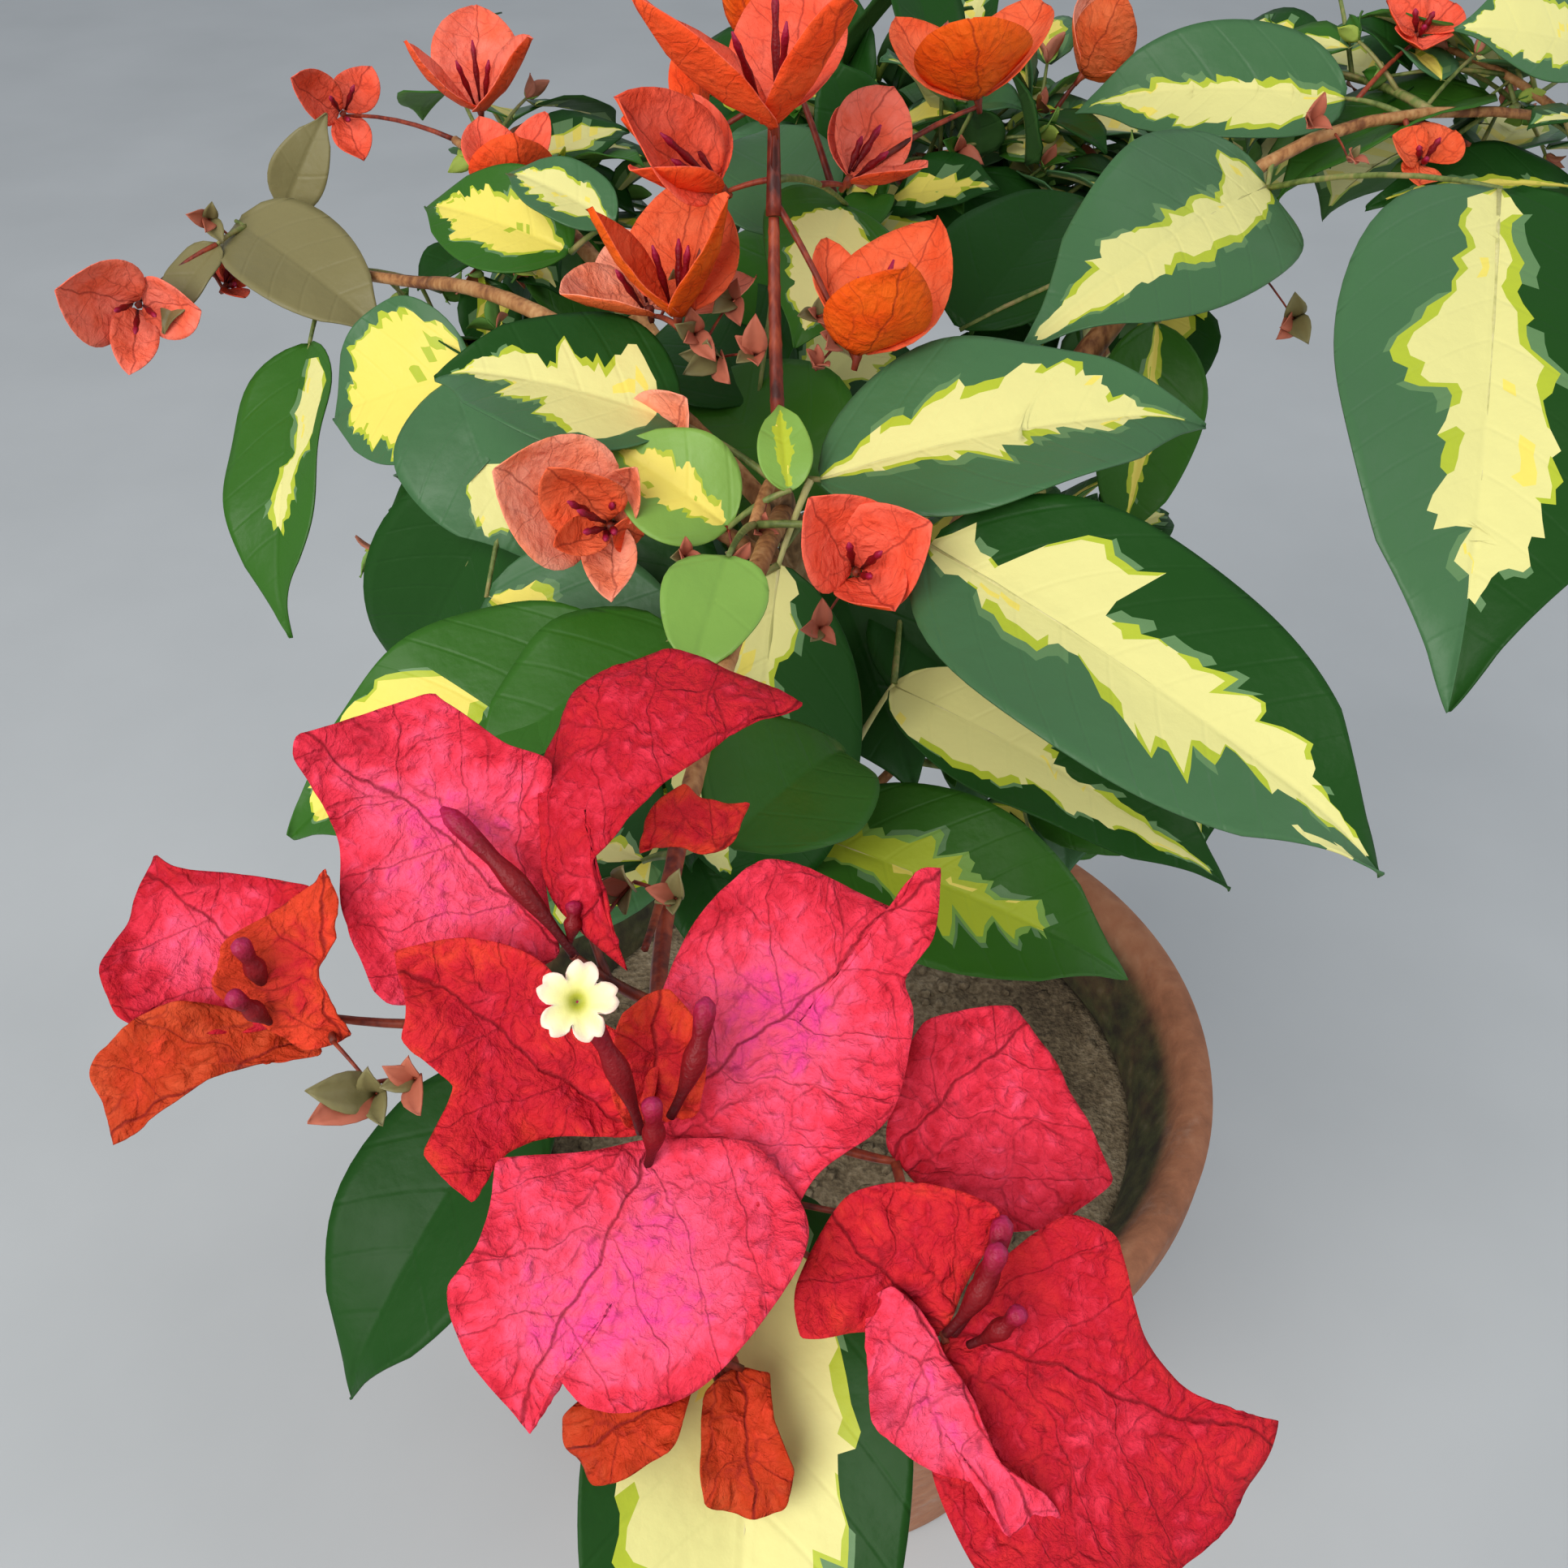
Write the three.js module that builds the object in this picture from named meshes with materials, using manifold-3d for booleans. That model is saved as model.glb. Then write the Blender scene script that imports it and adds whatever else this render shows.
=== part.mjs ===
// A potted bougainvillea bush with variegated leaves and coral bracts.
// Millimetres, +Z up. The origin is the centre of the pot's flat underside.
import * as THREE from 'three';
import { mergeVertices } from 'three/addons/utils/BufferGeometryUtils.js';
import Module from 'manifold-3d';

const wasm = await Module();
wasm.setup();

// Driving sizes
const gap = 0.3;
const pot = {
  height: 215, rimRadius: 125, baseRadius: 84, wall: 12, floor: 14, lip: 6, footBevel: 3,
  bandHeight: 40, bandStep: 5, groove: 5, innerBend: 22, soilDrop: 34, segments: 44,
};
const soilTop = pot.height - pot.soilDrop;
const boughSize = { sides: 6, steps: 6 };
const stemSize = { foot: 1.7, tip: 1.2, bend: 0.4, sides: 4, steps: 4 };
const twigSize = { shoot: 1.3, stalk: 1.1, taper: 0.35, lift: 0.1, sides: 3, steps: 2 };
const leastStalk = 6;
const leafSize = { thickness: 0.013, leastThickness: 0.55, cup: 0.22, width: 0.62 };
const root = 1.5;
const calyx = 3.2;

// How shoots leave a stem, and how leaves and blossom leave a shoot
const rule = {
  stemShare: [0.35, 1], turnStep: 0.618, firstTurn: 0.3, shootReach: [0.42, 0.66],
  shootShare: [0.3, 0.97], goldenAngle: THREE.MathUtils.degToRad(137.5), stray: 0.5,
  ahead: [0.3, 0.9], aside: 0.8, droop: 0.3, shrink: [1, 0.82], faceStray: 0.35, arch: [0.02, 0.1],
  bloomAhead: 9, bloomLift: 5, bloomSize: 25,
};

// Trunk, and boughs that leave it at a share of its length: bend and tip, and the radius at foot and tip
const trunkSize = {
  from: [0, 0, soilTop + gap], bend: [0, 0, 345], to: [-20, -52, 458],
  foot: 8.5, tip: 2.7, flare: 7, flareHeight: 0.09, sides: 9, steps: 11,
};
const boughSizes = {
  bough_flower: { at: 0.99, bend: [-21, -44, 484], to: [-21, -31, 507], foot: 2.1, tip: 1.5 },
  bough_front: { at: 0.97, bend: [-26, -104, 472], to: [-35, -148, 456], foot: 2.2, tip: 1.6 },
  bough_left: { at: 0.93, bend: [-62, -8, 482], to: [-108, 42, 461], foot: 2.3, tip: 1.7 },
  bough_left_low: { at: 0.84, bend: [-34, -24, 436], to: [-58, -20, 434], foot: 2.3, tip: 1.7 },
  bough_right: { at: 0.6, bend: [46, 14, 452], to: [86, 37, 484], foot: 4, tip: 2.6 },
  bough_back: { at: 0.52, bend: [6, 52, 430], to: [14, 92, 446], foot: 3.6, tip: 2.2 },
  bough_back_left: { at: 0.7, bend: [-42, 30, 452], to: [-84, 82, 464], foot: 3.2, tip: 2 },
  bough_back_right: { at: 0.56, bend: [38, 40, 418], to: [72, 84, 420], foot: 3.4, tip: 2.2 },
};

// Masses: the limb that carries each stem, the heart that it grows to, and its space: middle and half sizes
const masses = {
  foliage_top: {
    on: 'bough_flower', heart: [-21, -22, 524], middle: [-14, -6, 512], reach: [66, 60, 42],
    shoots: 0, leaves: 0, florets: 0, facing: 90, span: 180, rise: [0, 30], leaf: [26, 34], seed: 11,
    named: [
      ['leaf', [-5, 14, 492], [-16, -20, 475], 34, [0.1, -0.9, 0.4], 0.04],
      ['leaf', [-19, 14, 484], [-23, 50, 498], 32, [-0.1, -0.5, 0.8], 0.04],
      ['floret', [-21, -24, 527], [0.05, -0.75, 0.65], 34, 75],
      ['floret', [-41, -16, 514], [-0.35, -0.6, 0.7], 20, 20],
      ['floret', [-42, -22, 498], [-0.3, -0.8, 0.5], 21, 50],
      ['floret', [-55, -14, 492], [-0.6, -0.6, 0.5], 18, 10],
      ['floret', [-3, 5, 509], [0.2, -0.5, 0.8], 18, 35],
      ['floret', [0, -35, 497], [0.35, -0.8, 0.5], 22, 80],
      ['floret', [22, 20, 521], [0.15, -0.6, 0.8], 27, 15],
      ['floret', [-18, 22, 520], [-0.2, 0.5, 0.8], 24, 60],
      ['floret', [-40, 24, 505], [-0.6, 0.5, 0.6], 22, 40],
    ],
  },
  foliage_front: {
    on: 'bough_front', heart: [-37, -200, 456], middle: [-30, -208, 446], reach: [100, 92, 78],
    shoots: 4, leaves: 2, florets: 2, facing: 100, span: 300, rise: [-50, -20], leaf: [34, 48], seed: 23,
    named: [
      ['bract', [-48, -190, 467], [-83, -174, 494], 40, [0.1, -0.8, 0.6], -0.1],
      ['bract', [-49, -189, 468], [-17, -160, 488], 36, [-0.35, -0.7, 0.6], 0.18],
      ['bract', [-39, -211, 456], [-72, -196, 474], 37, [0.15, -0.7, 0.7], -0.06],
      ['bract', [-36, -210, 456], [1, -183, 475], 40, [-0.2, -0.7, 0.7], -0.08],
      ['bract', [-37, -214, 455], [-53, -243, 437], 40, [0, -0.5, 0.85], 0.1],
      ['bract', [-46, -186, 466], [-26, -168, 470], 26, [0.2, -0.6, 0.75], 0],
      ['bract', [-5, -209, 446], [19, -189, 457], 30, [0.1, -0.6, 0.8], 0],
      ['bract', [2, -231, 440], [45, -241, 429], 42, [0, -0.55, 0.85], 0.08],
      ['bract', [2, -231, 440], [14, -254, 431], 26, [-0.6, -0.6, 0.6], 0.1],
      ['bract', [2, -231, 440], [-16, -216, 450], 24, [-0.1, -0.6, 0.8], 0.08],
      ['bract', [-82, -193, 458], [-112, -177, 472], 28, [0.1, -0.7, 0.7], 0.05],
      ['bract', [-82, -193, 457], [-80, -184, 482], 24, [-0.85, -0.5, 0.2], 0.1],
      ['bract', [-84, -194, 457], [-114, -206, 446], 22, [-0.1, -0.6, 0.8], 0.14],
      ['bract', [-31, -234, 431], [-49, -240, 424], 14, [0, -0.6, 0.8], 0.1],
      ['bract', [-25, -232, 432], [-23, -247, 419], 13, [0, -0.7, 0.7], 0.1],
      ['leaf', [-22, -204, 434], [-27, -288, 382], 44, [0, -0.5, 0.85], 0.06],
      ['leaf', [-58, -184, 434], [-86, -222, 403], 30, [-0.4, -0.6, 0.7], 0.08],
      ['leaf', [-42, -152, 448], [-80, -116, 430], 34, [-0.2, 0, 1], 0.06],
      ['leaf', [-29, -150, 450], [-6, -106, 434], 30, [0.3, -0.2, 1], 0.06],
      ['arm', [-37, -212, 455], 1.4],
      ['arm', [-48, -190, 467], 1.2],
      ['arm', [-60, -192, 450], 1.2],
      ['arm', [-83, -193, 457.5], 1.1],
      ['arm', [-14, -206, 446], 1.2],
      ['arm', [-4, -209, 446], 1],
      ['arm', [3, -231, 440], 1.1],
      ['arm', [-28, -233, 431.5], 1.1],
    ],
  },
  foliage_crown: {
    on: 'trunk', at: 1, heart: [-25, -72, 462], middle: [-20, -84, 436], reach: [114, 72, 62],
    shoots: 4, leaves: 3, florets: 0, facing: 280, span: 200, rise: [-50, -25], leaf: [40, 54], seed: 37,
    named: [
      ['leaf', [9, -79, 462], [88, -141, 436], 52, [0.1, -0.45, 0.9], 0.04],
      ['leaf', [-12, -60, 465], [67, -51, 475], 44, [0, -0.3, 1], 0.06],
      ['leaf', [-41, -44, 469], [-94, -30, 474], 38, [0, -0.3, 1], 0.06],
      ['leaf', [-20, -63, 447], [-26, -62, 343], 46, [-0.2, -1, 0.3], 0.08],
      ['leaf', [-30, -72, 453], [-37, -98, 440], 22, [-0.1, -0.8, 0.6], 0.04],
      ['leaf', [-30, -65, 460], [-55, -51, 473], 25, [-0.1, -0.5, 0.85], 0.05],
      ['leaf', [-41, -68, 432], [-84, -92, 414], 32, [0, -0.3, 0.95], 0.06],
      ['leaf', [-50, -72, 428], [-128, -92, 397], 48, [-0.1, -0.4, 0.9], 0.06],
      ['floret', [-62, -60, 461], [-0.25, -0.8, 0.5], 24, 65],
      ['floret', [-4, -75, 456], [0.15, -0.85, 0.5], 20, 20],
      ['floret', [-45, -38, 470], [-0.1, -0.5, 0.8], 17, 0],
    ],
  },
  foliage_low_front: {
    on: 'trunk', at: 0.66, heart: [-6, -60, 384], middle: [16, -80, 372], reach: [92, 76, 64],
    shoots: 5, leaves: 3, florets: 0, facing: 232, span: 120, rise: [-25, 15], leaf: [48, 66], seed: 5,
    named: [
      ['leaf', [-14, -62, 368], [62, -96, 355], 44, [0, -0.4, 0.9], 0.06],
      ['leaf', [-2, -62, 406], [74, -108, 396], 34, [0.1, -0.5, 0.85], 0.06],
    ],
  },
  foliage_left: {
    on: 'bough_left_low', heart: [-82, -12, 446], middle: [-98, -4, 426], reach: [74, 64, 72],
    shoots: 5, leaves: 3, florets: 1, facing: 180, span: 220, rise: [-45, 20], leaf: [50, 66], seed: 41,
    named: [
      ['leaf', [-92, 2, 458], [-132, 12, 440], 40, [-0.1, -0.7, 0.7], 0.05],
      ['leaf', [-96, -2, 458], [-78, -36, 430], 38, [-0.3, -0.7, 0.6], 0.06],
      ['leaf', [-82, -22, 440], [-118, -16, 374], 44, [-0.3, -0.85, 0.4], 0.06],
      ['leaf', [-88, -48, 430], [-58, -62, 424], 26, [0, -0.6, 0.8], 0.06],
    ],
  },
  foliage_far_left: {
    on: 'bough_left', heart: [-150, 66, 456], middle: [-160, 52, 442], reach: [68, 72, 66],
    shoots: 6, leaves: 3, florets: 2, facing: 150, span: 300, rise: [-35, 30], leaf: [46, 62], seed: 53,
    named: [
      ['leaf', [-143, 44, 444], [-148, -14, 392], 34, [-0.5, -0.75, 0.5], 0.06],
      ['leaf', [-166, 76, 463], [-122, 40, 448], 30, [0.2, -0.6, 0.8], 0.05],
      ['floret', [-186, 54, 454], [-0.45, -0.6, 0.6], 24, 90],
      ['floret', [-172, 70, 455], [0, -0.6, 0.8], 17, 30],
    ],
  },
  foliage_right: {
    on: 'bough_right', heart: [176, 64, 494], middle: [126, 18, 470], reach: [98, 136, 66],
    shoots: 10, leaves: 3, florets: 3, facing: 20, span: 320, rise: [-40, 25], leaf: [56, 78], seed: 67,
    named: [
      ['leaf', [97, 38, 487], [34, -22, 477], 44, [0.1, -0.6, 0.8], 0.08],
      ['leaf', [134, -4, 508], [105, -113, 448], 46, [0.1, -0.6, 0.8], 0.04],
      ['leaf', [121, 66, 498], [56, 80, 492], 34, [0, -0.6, 0.8], 0.08],
      ['leaf', [72, 22, 460], [66, -3, 412], 28, [0.1, -1, 0.3], 0.05],
      ['leaf', [24, 18, 460], [58, 58, 478], 36, [-0.2, -0.5, 0.8], 0.05],
      ['floret', [146, 74, 518], [0.1, -0.6, 0.8], 18, 40],
    ],
  },
  foliage_back: {
    on: 'bough_back', heart: [20, 132, 460], middle: [20, 134, 452], reach: [84, 80, 74],
    shoots: 9, leaves: 3, florets: 4, facing: 90, span: 330, rise: [-40, 45], leaf: [56, 78], seed: 71,
    named: [],
  },
  foliage_back_left: {
    on: 'bough_back_left', heart: [-112, 112, 472], middle: [-108, 116, 464], reach: [76, 66, 66],
    shoots: 8, leaves: 3, florets: 3, facing: 120, span: 320, rise: [-45, 30], leaf: [50, 70], seed: 83,
    named: [
      ['leaf', [-72, 40, 470], [-112, 62, 474], 30, [0, -0.6, 0.8], 0.05],
      ['leaf', [-60, 33, 480], [-88, 52, 486], 18, [0, -0.5, 0.9], 0.05],
      ['floret', [-106, 118, 490], [-0.1, -0.7, 0.7], 25, 70],
      ['floret', [-92, 84, 482], [0, -0.7, 0.7], 18, 20],
      ['floret', [-150, 132, 475], [-0.2, -0.7, 0.7], 19, 50],
    ],
  },
  foliage_back_right: {
    on: 'bough_back_right', heart: [100, 116, 424], middle: [102, 122, 424], reach: [84, 80, 72],
    shoots: 8, leaves: 3, florets: 3, facing: 45, span: 320, rise: [-40, 40], leaf: [54, 76], seed: 97,
    named: [],
  },
  foliage_low_left: {
    on: 'trunk', at: 0.5, heart: [-44, 10, 364], middle: [-62, 16, 366], reach: [76, 74, 60],
    shoots: 6, leaves: 3, florets: 0, facing: 165, span: 220, rise: [-25, 25], leaf: [54, 72], seed: 103,
    named: [],
  },
  foliage_low_right: {
    on: 'trunk', at: 0.46, heart: [46, 22, 360], middle: [66, 22, 364], reach: [80, 78, 62],
    shoots: 6, leaves: 3, florets: 0, facing: 15, span: 220, rise: [-25, 25], leaf: [54, 72], seed: 109,
    named: [],
  },
};

// Outlines from base to tip: how far along, and the share of the half width
const outlines = {
  leaf: [[0.4, 1]],
  namedLeaf: [[0.12, 0.62], [0.38, 1], [0.72, 0.62]],
  namedBract: [[0.14, 0.8], [0.45, 1], [0.78, 0.56]],
};

const finishes = {
  terracotta: { color: '#aa6a4d', roughness: 0.85 },
  soil: { color: '#8d7a5c', roughness: 1 },
  bark: { color: '#8a6238', roughness: 0.8 },
  foliage: { color: '#4f7a45', roughness: 0.6 },
};

const group = new THREE.Group();

// Small helpers
function vec(values) {
  return new THREE.Vector3(...values);
}

function mix(a, b, t) {
  return a + (b - a) * t;
}

function seeded(seed) {
  let state = Math.imul(seed, 2654435761) >>> 0;
  return () => {
    state = (Math.imul(state, 1664525) + 1013904223) >>> 0;
    return state / 4294967296;
  };
}

// A closed three.js geometry as a solid, and a solid as a geometry
function solidOf(geometry) {
  const bare = geometry.clone();
  bare.deleteAttribute('normal');
  bare.deleteAttribute('uv');
  const merged = mergeVertices(bare, 1e-5);
  return new wasm.Manifold(new wasm.Mesh({
    numProp: 3,
    vertProperties: new Float32Array(merged.attributes.position.array),
    triVerts: new Uint32Array(merged.index.array),
  }));
}

function geometryOf(solid) {
  const mesh = solid.getMesh();
  const geometry = new THREE.BufferGeometry();
  geometry.setAttribute('position', new THREE.BufferAttribute(mesh.vertProperties, 3));
  geometry.setIndex(new THREE.BufferAttribute(mesh.triVerts, 1));
  return geometry;
}

function addNode(name, geometry, finish) {
  const material = new THREE.MeshStandardMaterial({ ...finishes[finish], metalness: 0 });
  const mesh = new THREE.Mesh(geometry, material);
  mesh.name = name;
  group.add(mesh);
}

// A tapered limb: a cylinder whose rings are moved onto a curve
function limb(curve, radiusAt, sides, steps) {
  const geometry = new THREE.CylinderGeometry(1, 1, 1, sides, steps);
  const frames = curve.computeFrenetFrames(steps, false);
  const points = geometry.attributes.position;
  for (let i = 0; i < points.count; i++) {
    const along = points.getY(i) + 0.5;
    const ring = Math.round(along * steps);
    const angle = Math.atan2(points.getZ(i), points.getX(i));
    const out = Math.round(Math.hypot(points.getX(i), points.getZ(i)));
    const radius = out * radiusAt(along, angle);
    const place = curve.getPoint(along);
    place.addScaledVector(frames.normals[ring], -radius * Math.cos(angle));
    place.addScaledVector(frames.binormals[ring], radius * Math.sin(angle));
    points.setXYZ(i, place.x, place.y, place.z);
  }
  return solidOf(geometry);
}

function bentCurve(from, bend, to) {
  return new THREE.QuadraticBezierCurve3(vec(from), vec(bend), vec(to));
}

// A three-sided twig that arches up and tapers from its foot to its tip
function twig(from, to, radius) {
  const middle = from.clone().lerp(to, 0.5);
  middle.z += twigSize.lift * from.distanceTo(to);
  const curve = new THREE.QuadraticBezierCurve3(from, middle, to);
  const radiusAt = (t) => radius * (1 - twigSize.taper * t);
  return { curve, solid: limb(curve, radiusAt, twigSize.sides, twigSize.steps) };
}

// A blade is a sphere of four meridians drawn out along its midrib: two edges, a face above and one below
function blade({ base, tip, width, face, outline, arch }, grow = 0) {
  const length = base.distanceTo(tip);
  const along = tip.clone().sub(base).normalize();
  const normal = face.clone().addScaledVector(along, -face.dot(along)).normalize();
  const side = normal.clone().cross(along);
  const thick = Math.max(leafSize.thickness * length, leafSize.leastThickness) / 2 + grow;
  const rows = [[-root / length, 0, 0], ...outline.map(([t, share]) => [t, share * width / 2, thick]), [1, 0, 0]];
  const sphere = new THREE.SphereGeometry(1, 4, rows.length - 1);
  const points = sphere.attributes.position;
  for (let i = 0; i < points.count; i++) {
    const [t, half, depth] = rows[Math.floor(i / 5)];
    const across = [-1, 0, 1, 0, -1][i % 5];
    const up = [0, 1, 0, -1, 0][i % 5];
    const lift = 4 * arch * length * t * (1 - t) + leafSize.cup * Math.abs(across) * half;
    const place = base.clone().addScaledVector(along, t * length);
    const wider = half > 0 ? grow : 0;
    place.addScaledVector(side, across * (half + wider));
    place.addScaledVector(normal, up * (depth + wider) + lift);
    points.setXYZ(i, place.x, place.y, place.z);
  }
  return solidOf(sphere);
}

// A floret is a sphere of one ring, drawn out to three pointed bracts that cup round the way it faces
const floretRing = [
  { turn: -32, reach: 0.72, lift: 0.3 },
  { turn: 0, reach: 1, lift: 0.5 },
  { turn: 32, reach: 0.72, lift: 0.3 },
];

function floret({ at, face, size, spin }, grow = 0) {
  const out = face.clone().normalize();
  const first = new THREE.Vector3(0, 0, 1).addScaledVector(out, -out.z).normalize();
  const count = 3 * floretRing.length;
  const sphere = new THREE.SphereGeometry(1, count, 2);
  const points = sphere.attributes.position;
  for (let i = 0; i < points.count; i++) {
    const row = Math.floor(i / (count + 1));
    const step = i % (count + 1) % count;
    const { turn, reach, lift } = floretRing[step % 3];
    const ray = first.clone().applyAxisAngle(out, THREE.MathUtils.degToRad(spin + turn + 40 * (step - step % 3)));
    const place = at.clone();
    if (row === 1) {
      place.addScaledVector(ray, reach * size + grow).addScaledVector(out, lift * size);
    } else {
      place.addScaledVector(out, row === 0 ? grow : -calyx - grow);
    }
    points.setXYZ(i, place.x, place.y, place.z);
  }
  return solidOf(sphere);
}

// The stem of a mass goes on from its limb's tip, or comes out of the side of the trunk
function stemCurve(mass) {
  const heart = vec(mass.heart);
  const onTrunk = mass.on === 'trunk';
  const carrier = onTrunk ? trunkCurve : boughCurve(boughSizes[mass.on]);
  const share = onTrunk ? mass.at : 1;
  const foot = carrier.getPoint(share);
  const ahead = onTrunk && share < 1 ? heart.clone().sub(foot).normalize() : carrier.getTangent(1);
  foot.addScaledVector(ahead, gap);
  const bend = foot.clone().addScaledVector(ahead, stemSize.bend * foot.distanceTo(heart));
  return new THREE.QuadraticBezierCurve3(foot, bend, heart);
}

// The seeded rule: shoots leave the stem by golden-ratio turns, with leaves by the golden angle along them
function growShoots(mass) {
  const random = seeded(mass.seed);
  const stem = stemCurve(mass);
  const shoots = [];
  for (let i = 0; i < mass.shoots; i++) {
    const start = stem.getPoint(mix(...rule.stemShare, (i + 1) / mass.shoots));
    const share = (i * rule.turnStep + rule.firstTurn) % 1;
    const turn = THREE.MathUtils.degToRad(mass.facing + mass.span * (share - 0.5));
    const rise = THREE.MathUtils.degToRad(mix(...mass.rise, random()));
    const aim = new THREE.Vector3(
      Math.cos(turn) * Math.cos(rise), Math.sin(turn) * Math.cos(rise), Math.sin(rise));
    const length = mix(...rule.shootReach, random()) * roomAlong(mass, start, aim);
    const end = start.clone().addScaledVector(aim, length);
    const leaves = [];
    for (let j = 0; j < mass.leaves; j++) {
      leaves.push(growLeaf(mass, start, end, aim, (j + 1) / mass.leaves, j, random));
    }
    shoots.push({ start, end, aim, leaves, blooms: i < mass.florets, spin: 360 * random() });
  }
  return shoots;
}

function growLeaf(mass, start, end, aim, share, index, random) {
  const out = mix(...rule.shootShare, share);
  const base = start.clone().lerp(end, out);
  base.z += twigSize.lift / 2 * start.distanceTo(end) * (1 - Math.abs(2 * out - 1));
  const across = new THREE.Vector3(0, 0, 1).cross(aim).normalize();
  across.applyAxisAngle(aim, index * rule.goldenAngle + mix(-rule.stray, rule.stray, random()));
  const along = aim.clone().multiplyScalar(mix(...rule.ahead, share)).addScaledVector(across, rule.aside);
  along.z -= rule.droop;
  const length = mix(...mass.leaf, random()) * mix(...rule.shrink, share);
  const face = new THREE.Vector3(0.5 * aim.x, 0.5 * aim.y, 1);
  face.x += mix(-rule.faceStray, rule.faceStray, random());
  face.y += mix(-rule.faceStray, rule.faceStray, random());
  return {
    base, tip: base.clone().addScaledVector(along.normalize(), length), width: leafSize.width * length,
    face, outline: outlines.leaf, arch: mix(...rule.arch, random()),
  };
}

// How far a ray runs inside a mass's space
function roomAlong(mass, start, aim) {
  const p = start.clone().sub(vec(mass.middle)).divide(vec(mass.reach));
  const d = aim.clone().divide(vec(mass.reach));
  const b = p.dot(d);
  const c = Math.min(p.lengthSq() - 1, 0);
  return (-b + Math.sqrt(b * b - d.lengthSq() * c)) / d.lengthSq();
}

function inSpace(mass, point) {
  return point.clone().sub(vec(mass.middle)).divide(vec(mass.reach)).length() <= 1;
}

// Pot and soil
function potRadiusAt(z) {
  return mix(pot.baseRadius, pot.rimRadius - pot.bandStep, z / pot.height);
}

function innerRadiusAt(z) {
  return potRadiusAt(z) - pot.wall;
}

function makePot() {
  const { height, rimRadius, baseRadius, lip, footBevel, groove, innerBend, floor } = pot;
  const bandFoot = height - pot.bandHeight;
  const profile = [
    [0, 0], [baseRadius - footBevel, 0], [baseRadius, footBevel],
    [potRadiusAt(bandFoot - groove), bandFoot - groove], [potRadiusAt(bandFoot), bandFoot],
    [potRadiusAt(bandFoot) + pot.bandStep, bandFoot + groove],
    [rimRadius, height - 2.4 * lip],
  ];
  for (let i = 0; i <= 4; i++) {
    const angle = Math.PI * i / 4;
    profile.push([rimRadius - lip + lip * Math.cos(angle), height - lip + lip * Math.sin(angle)]);
  }
  profile.push([innerRadiusAt(height - innerBend), height - innerBend]);
  profile.push([innerRadiusAt(floor), floor], [0, floor]);
  const points = profile.map(([r, z]) => new THREE.Vector2(r, z));
  addNode('pot', new THREE.LatheGeometry(points, pot.segments).rotateX(Math.PI / 2), 'terracotta');
}

function makeSoil() {
  const foot = pot.floor + gap;
  const points = [
    [0, foot], [innerRadiusAt(foot) - gap, foot], [innerRadiusAt(soilTop) - gap, soilTop], [0, soilTop],
  ].map(([r, z]) => new THREE.Vector2(r, z));
  addNode('soil', new THREE.LatheGeometry(points, pot.segments).rotateX(Math.PI / 2), 'soil');
}

// Trunk and boughs, each cut clear of what was made before it
const trunkCurve = bentCurve(trunkSize.from, trunkSize.bend, trunkSize.to);

function boughCurve(size) {
  return new THREE.QuadraticBezierCurve3(trunkCurve.getPoint(size.at), vec(size.bend), vec(size.to));
}

function makeTrunk() {
  const s = trunkSize;
  const radiusAt = (extra) => (t, angle) => {
    const flare = s.flare * Math.exp(-t / s.flareHeight);
    return mix(s.foot, s.tip, Math.pow(t, 0.8)) + flare * (1 + 0.3 * Math.cos(3 * angle)) + extra;
  };
  addNode('trunk', geometryOf(limb(trunkCurve, radiusAt(0), s.sides, s.steps)), 'bark');
  return limb(trunkCurve, radiusAt(gap), s.sides, s.steps);
}

function largestPiece(solid) {
  return solid.decompose().sort((a, b) => b.volume() - a.volume())[0];
}

function makeBoughs(trunkClear) {
  let clear = trunkClear;
  for (const [name, s] of Object.entries(boughSizes)) {
    const grown = (extra) => {
      const radiusAt = (t) => mix(s.foot, s.tip, t) + extra;
      return limb(boughCurve(s), radiusAt, boughSize.sides, boughSize.steps);
    };
    addNode(name, geometryOf(largestPiece(grown(0).subtract(clear))), 'bark');
    clear = clear.add(grown(gap));
  }
  return clear;
}

function stemSolid(mass, extra) {
  const radiusAt = (t) => mix(stemSize.foot, stemSize.tip, t) + extra;
  return limb(stemCurve(mass), radiusAt, stemSize.sides, stemSize.steps);
}

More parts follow.
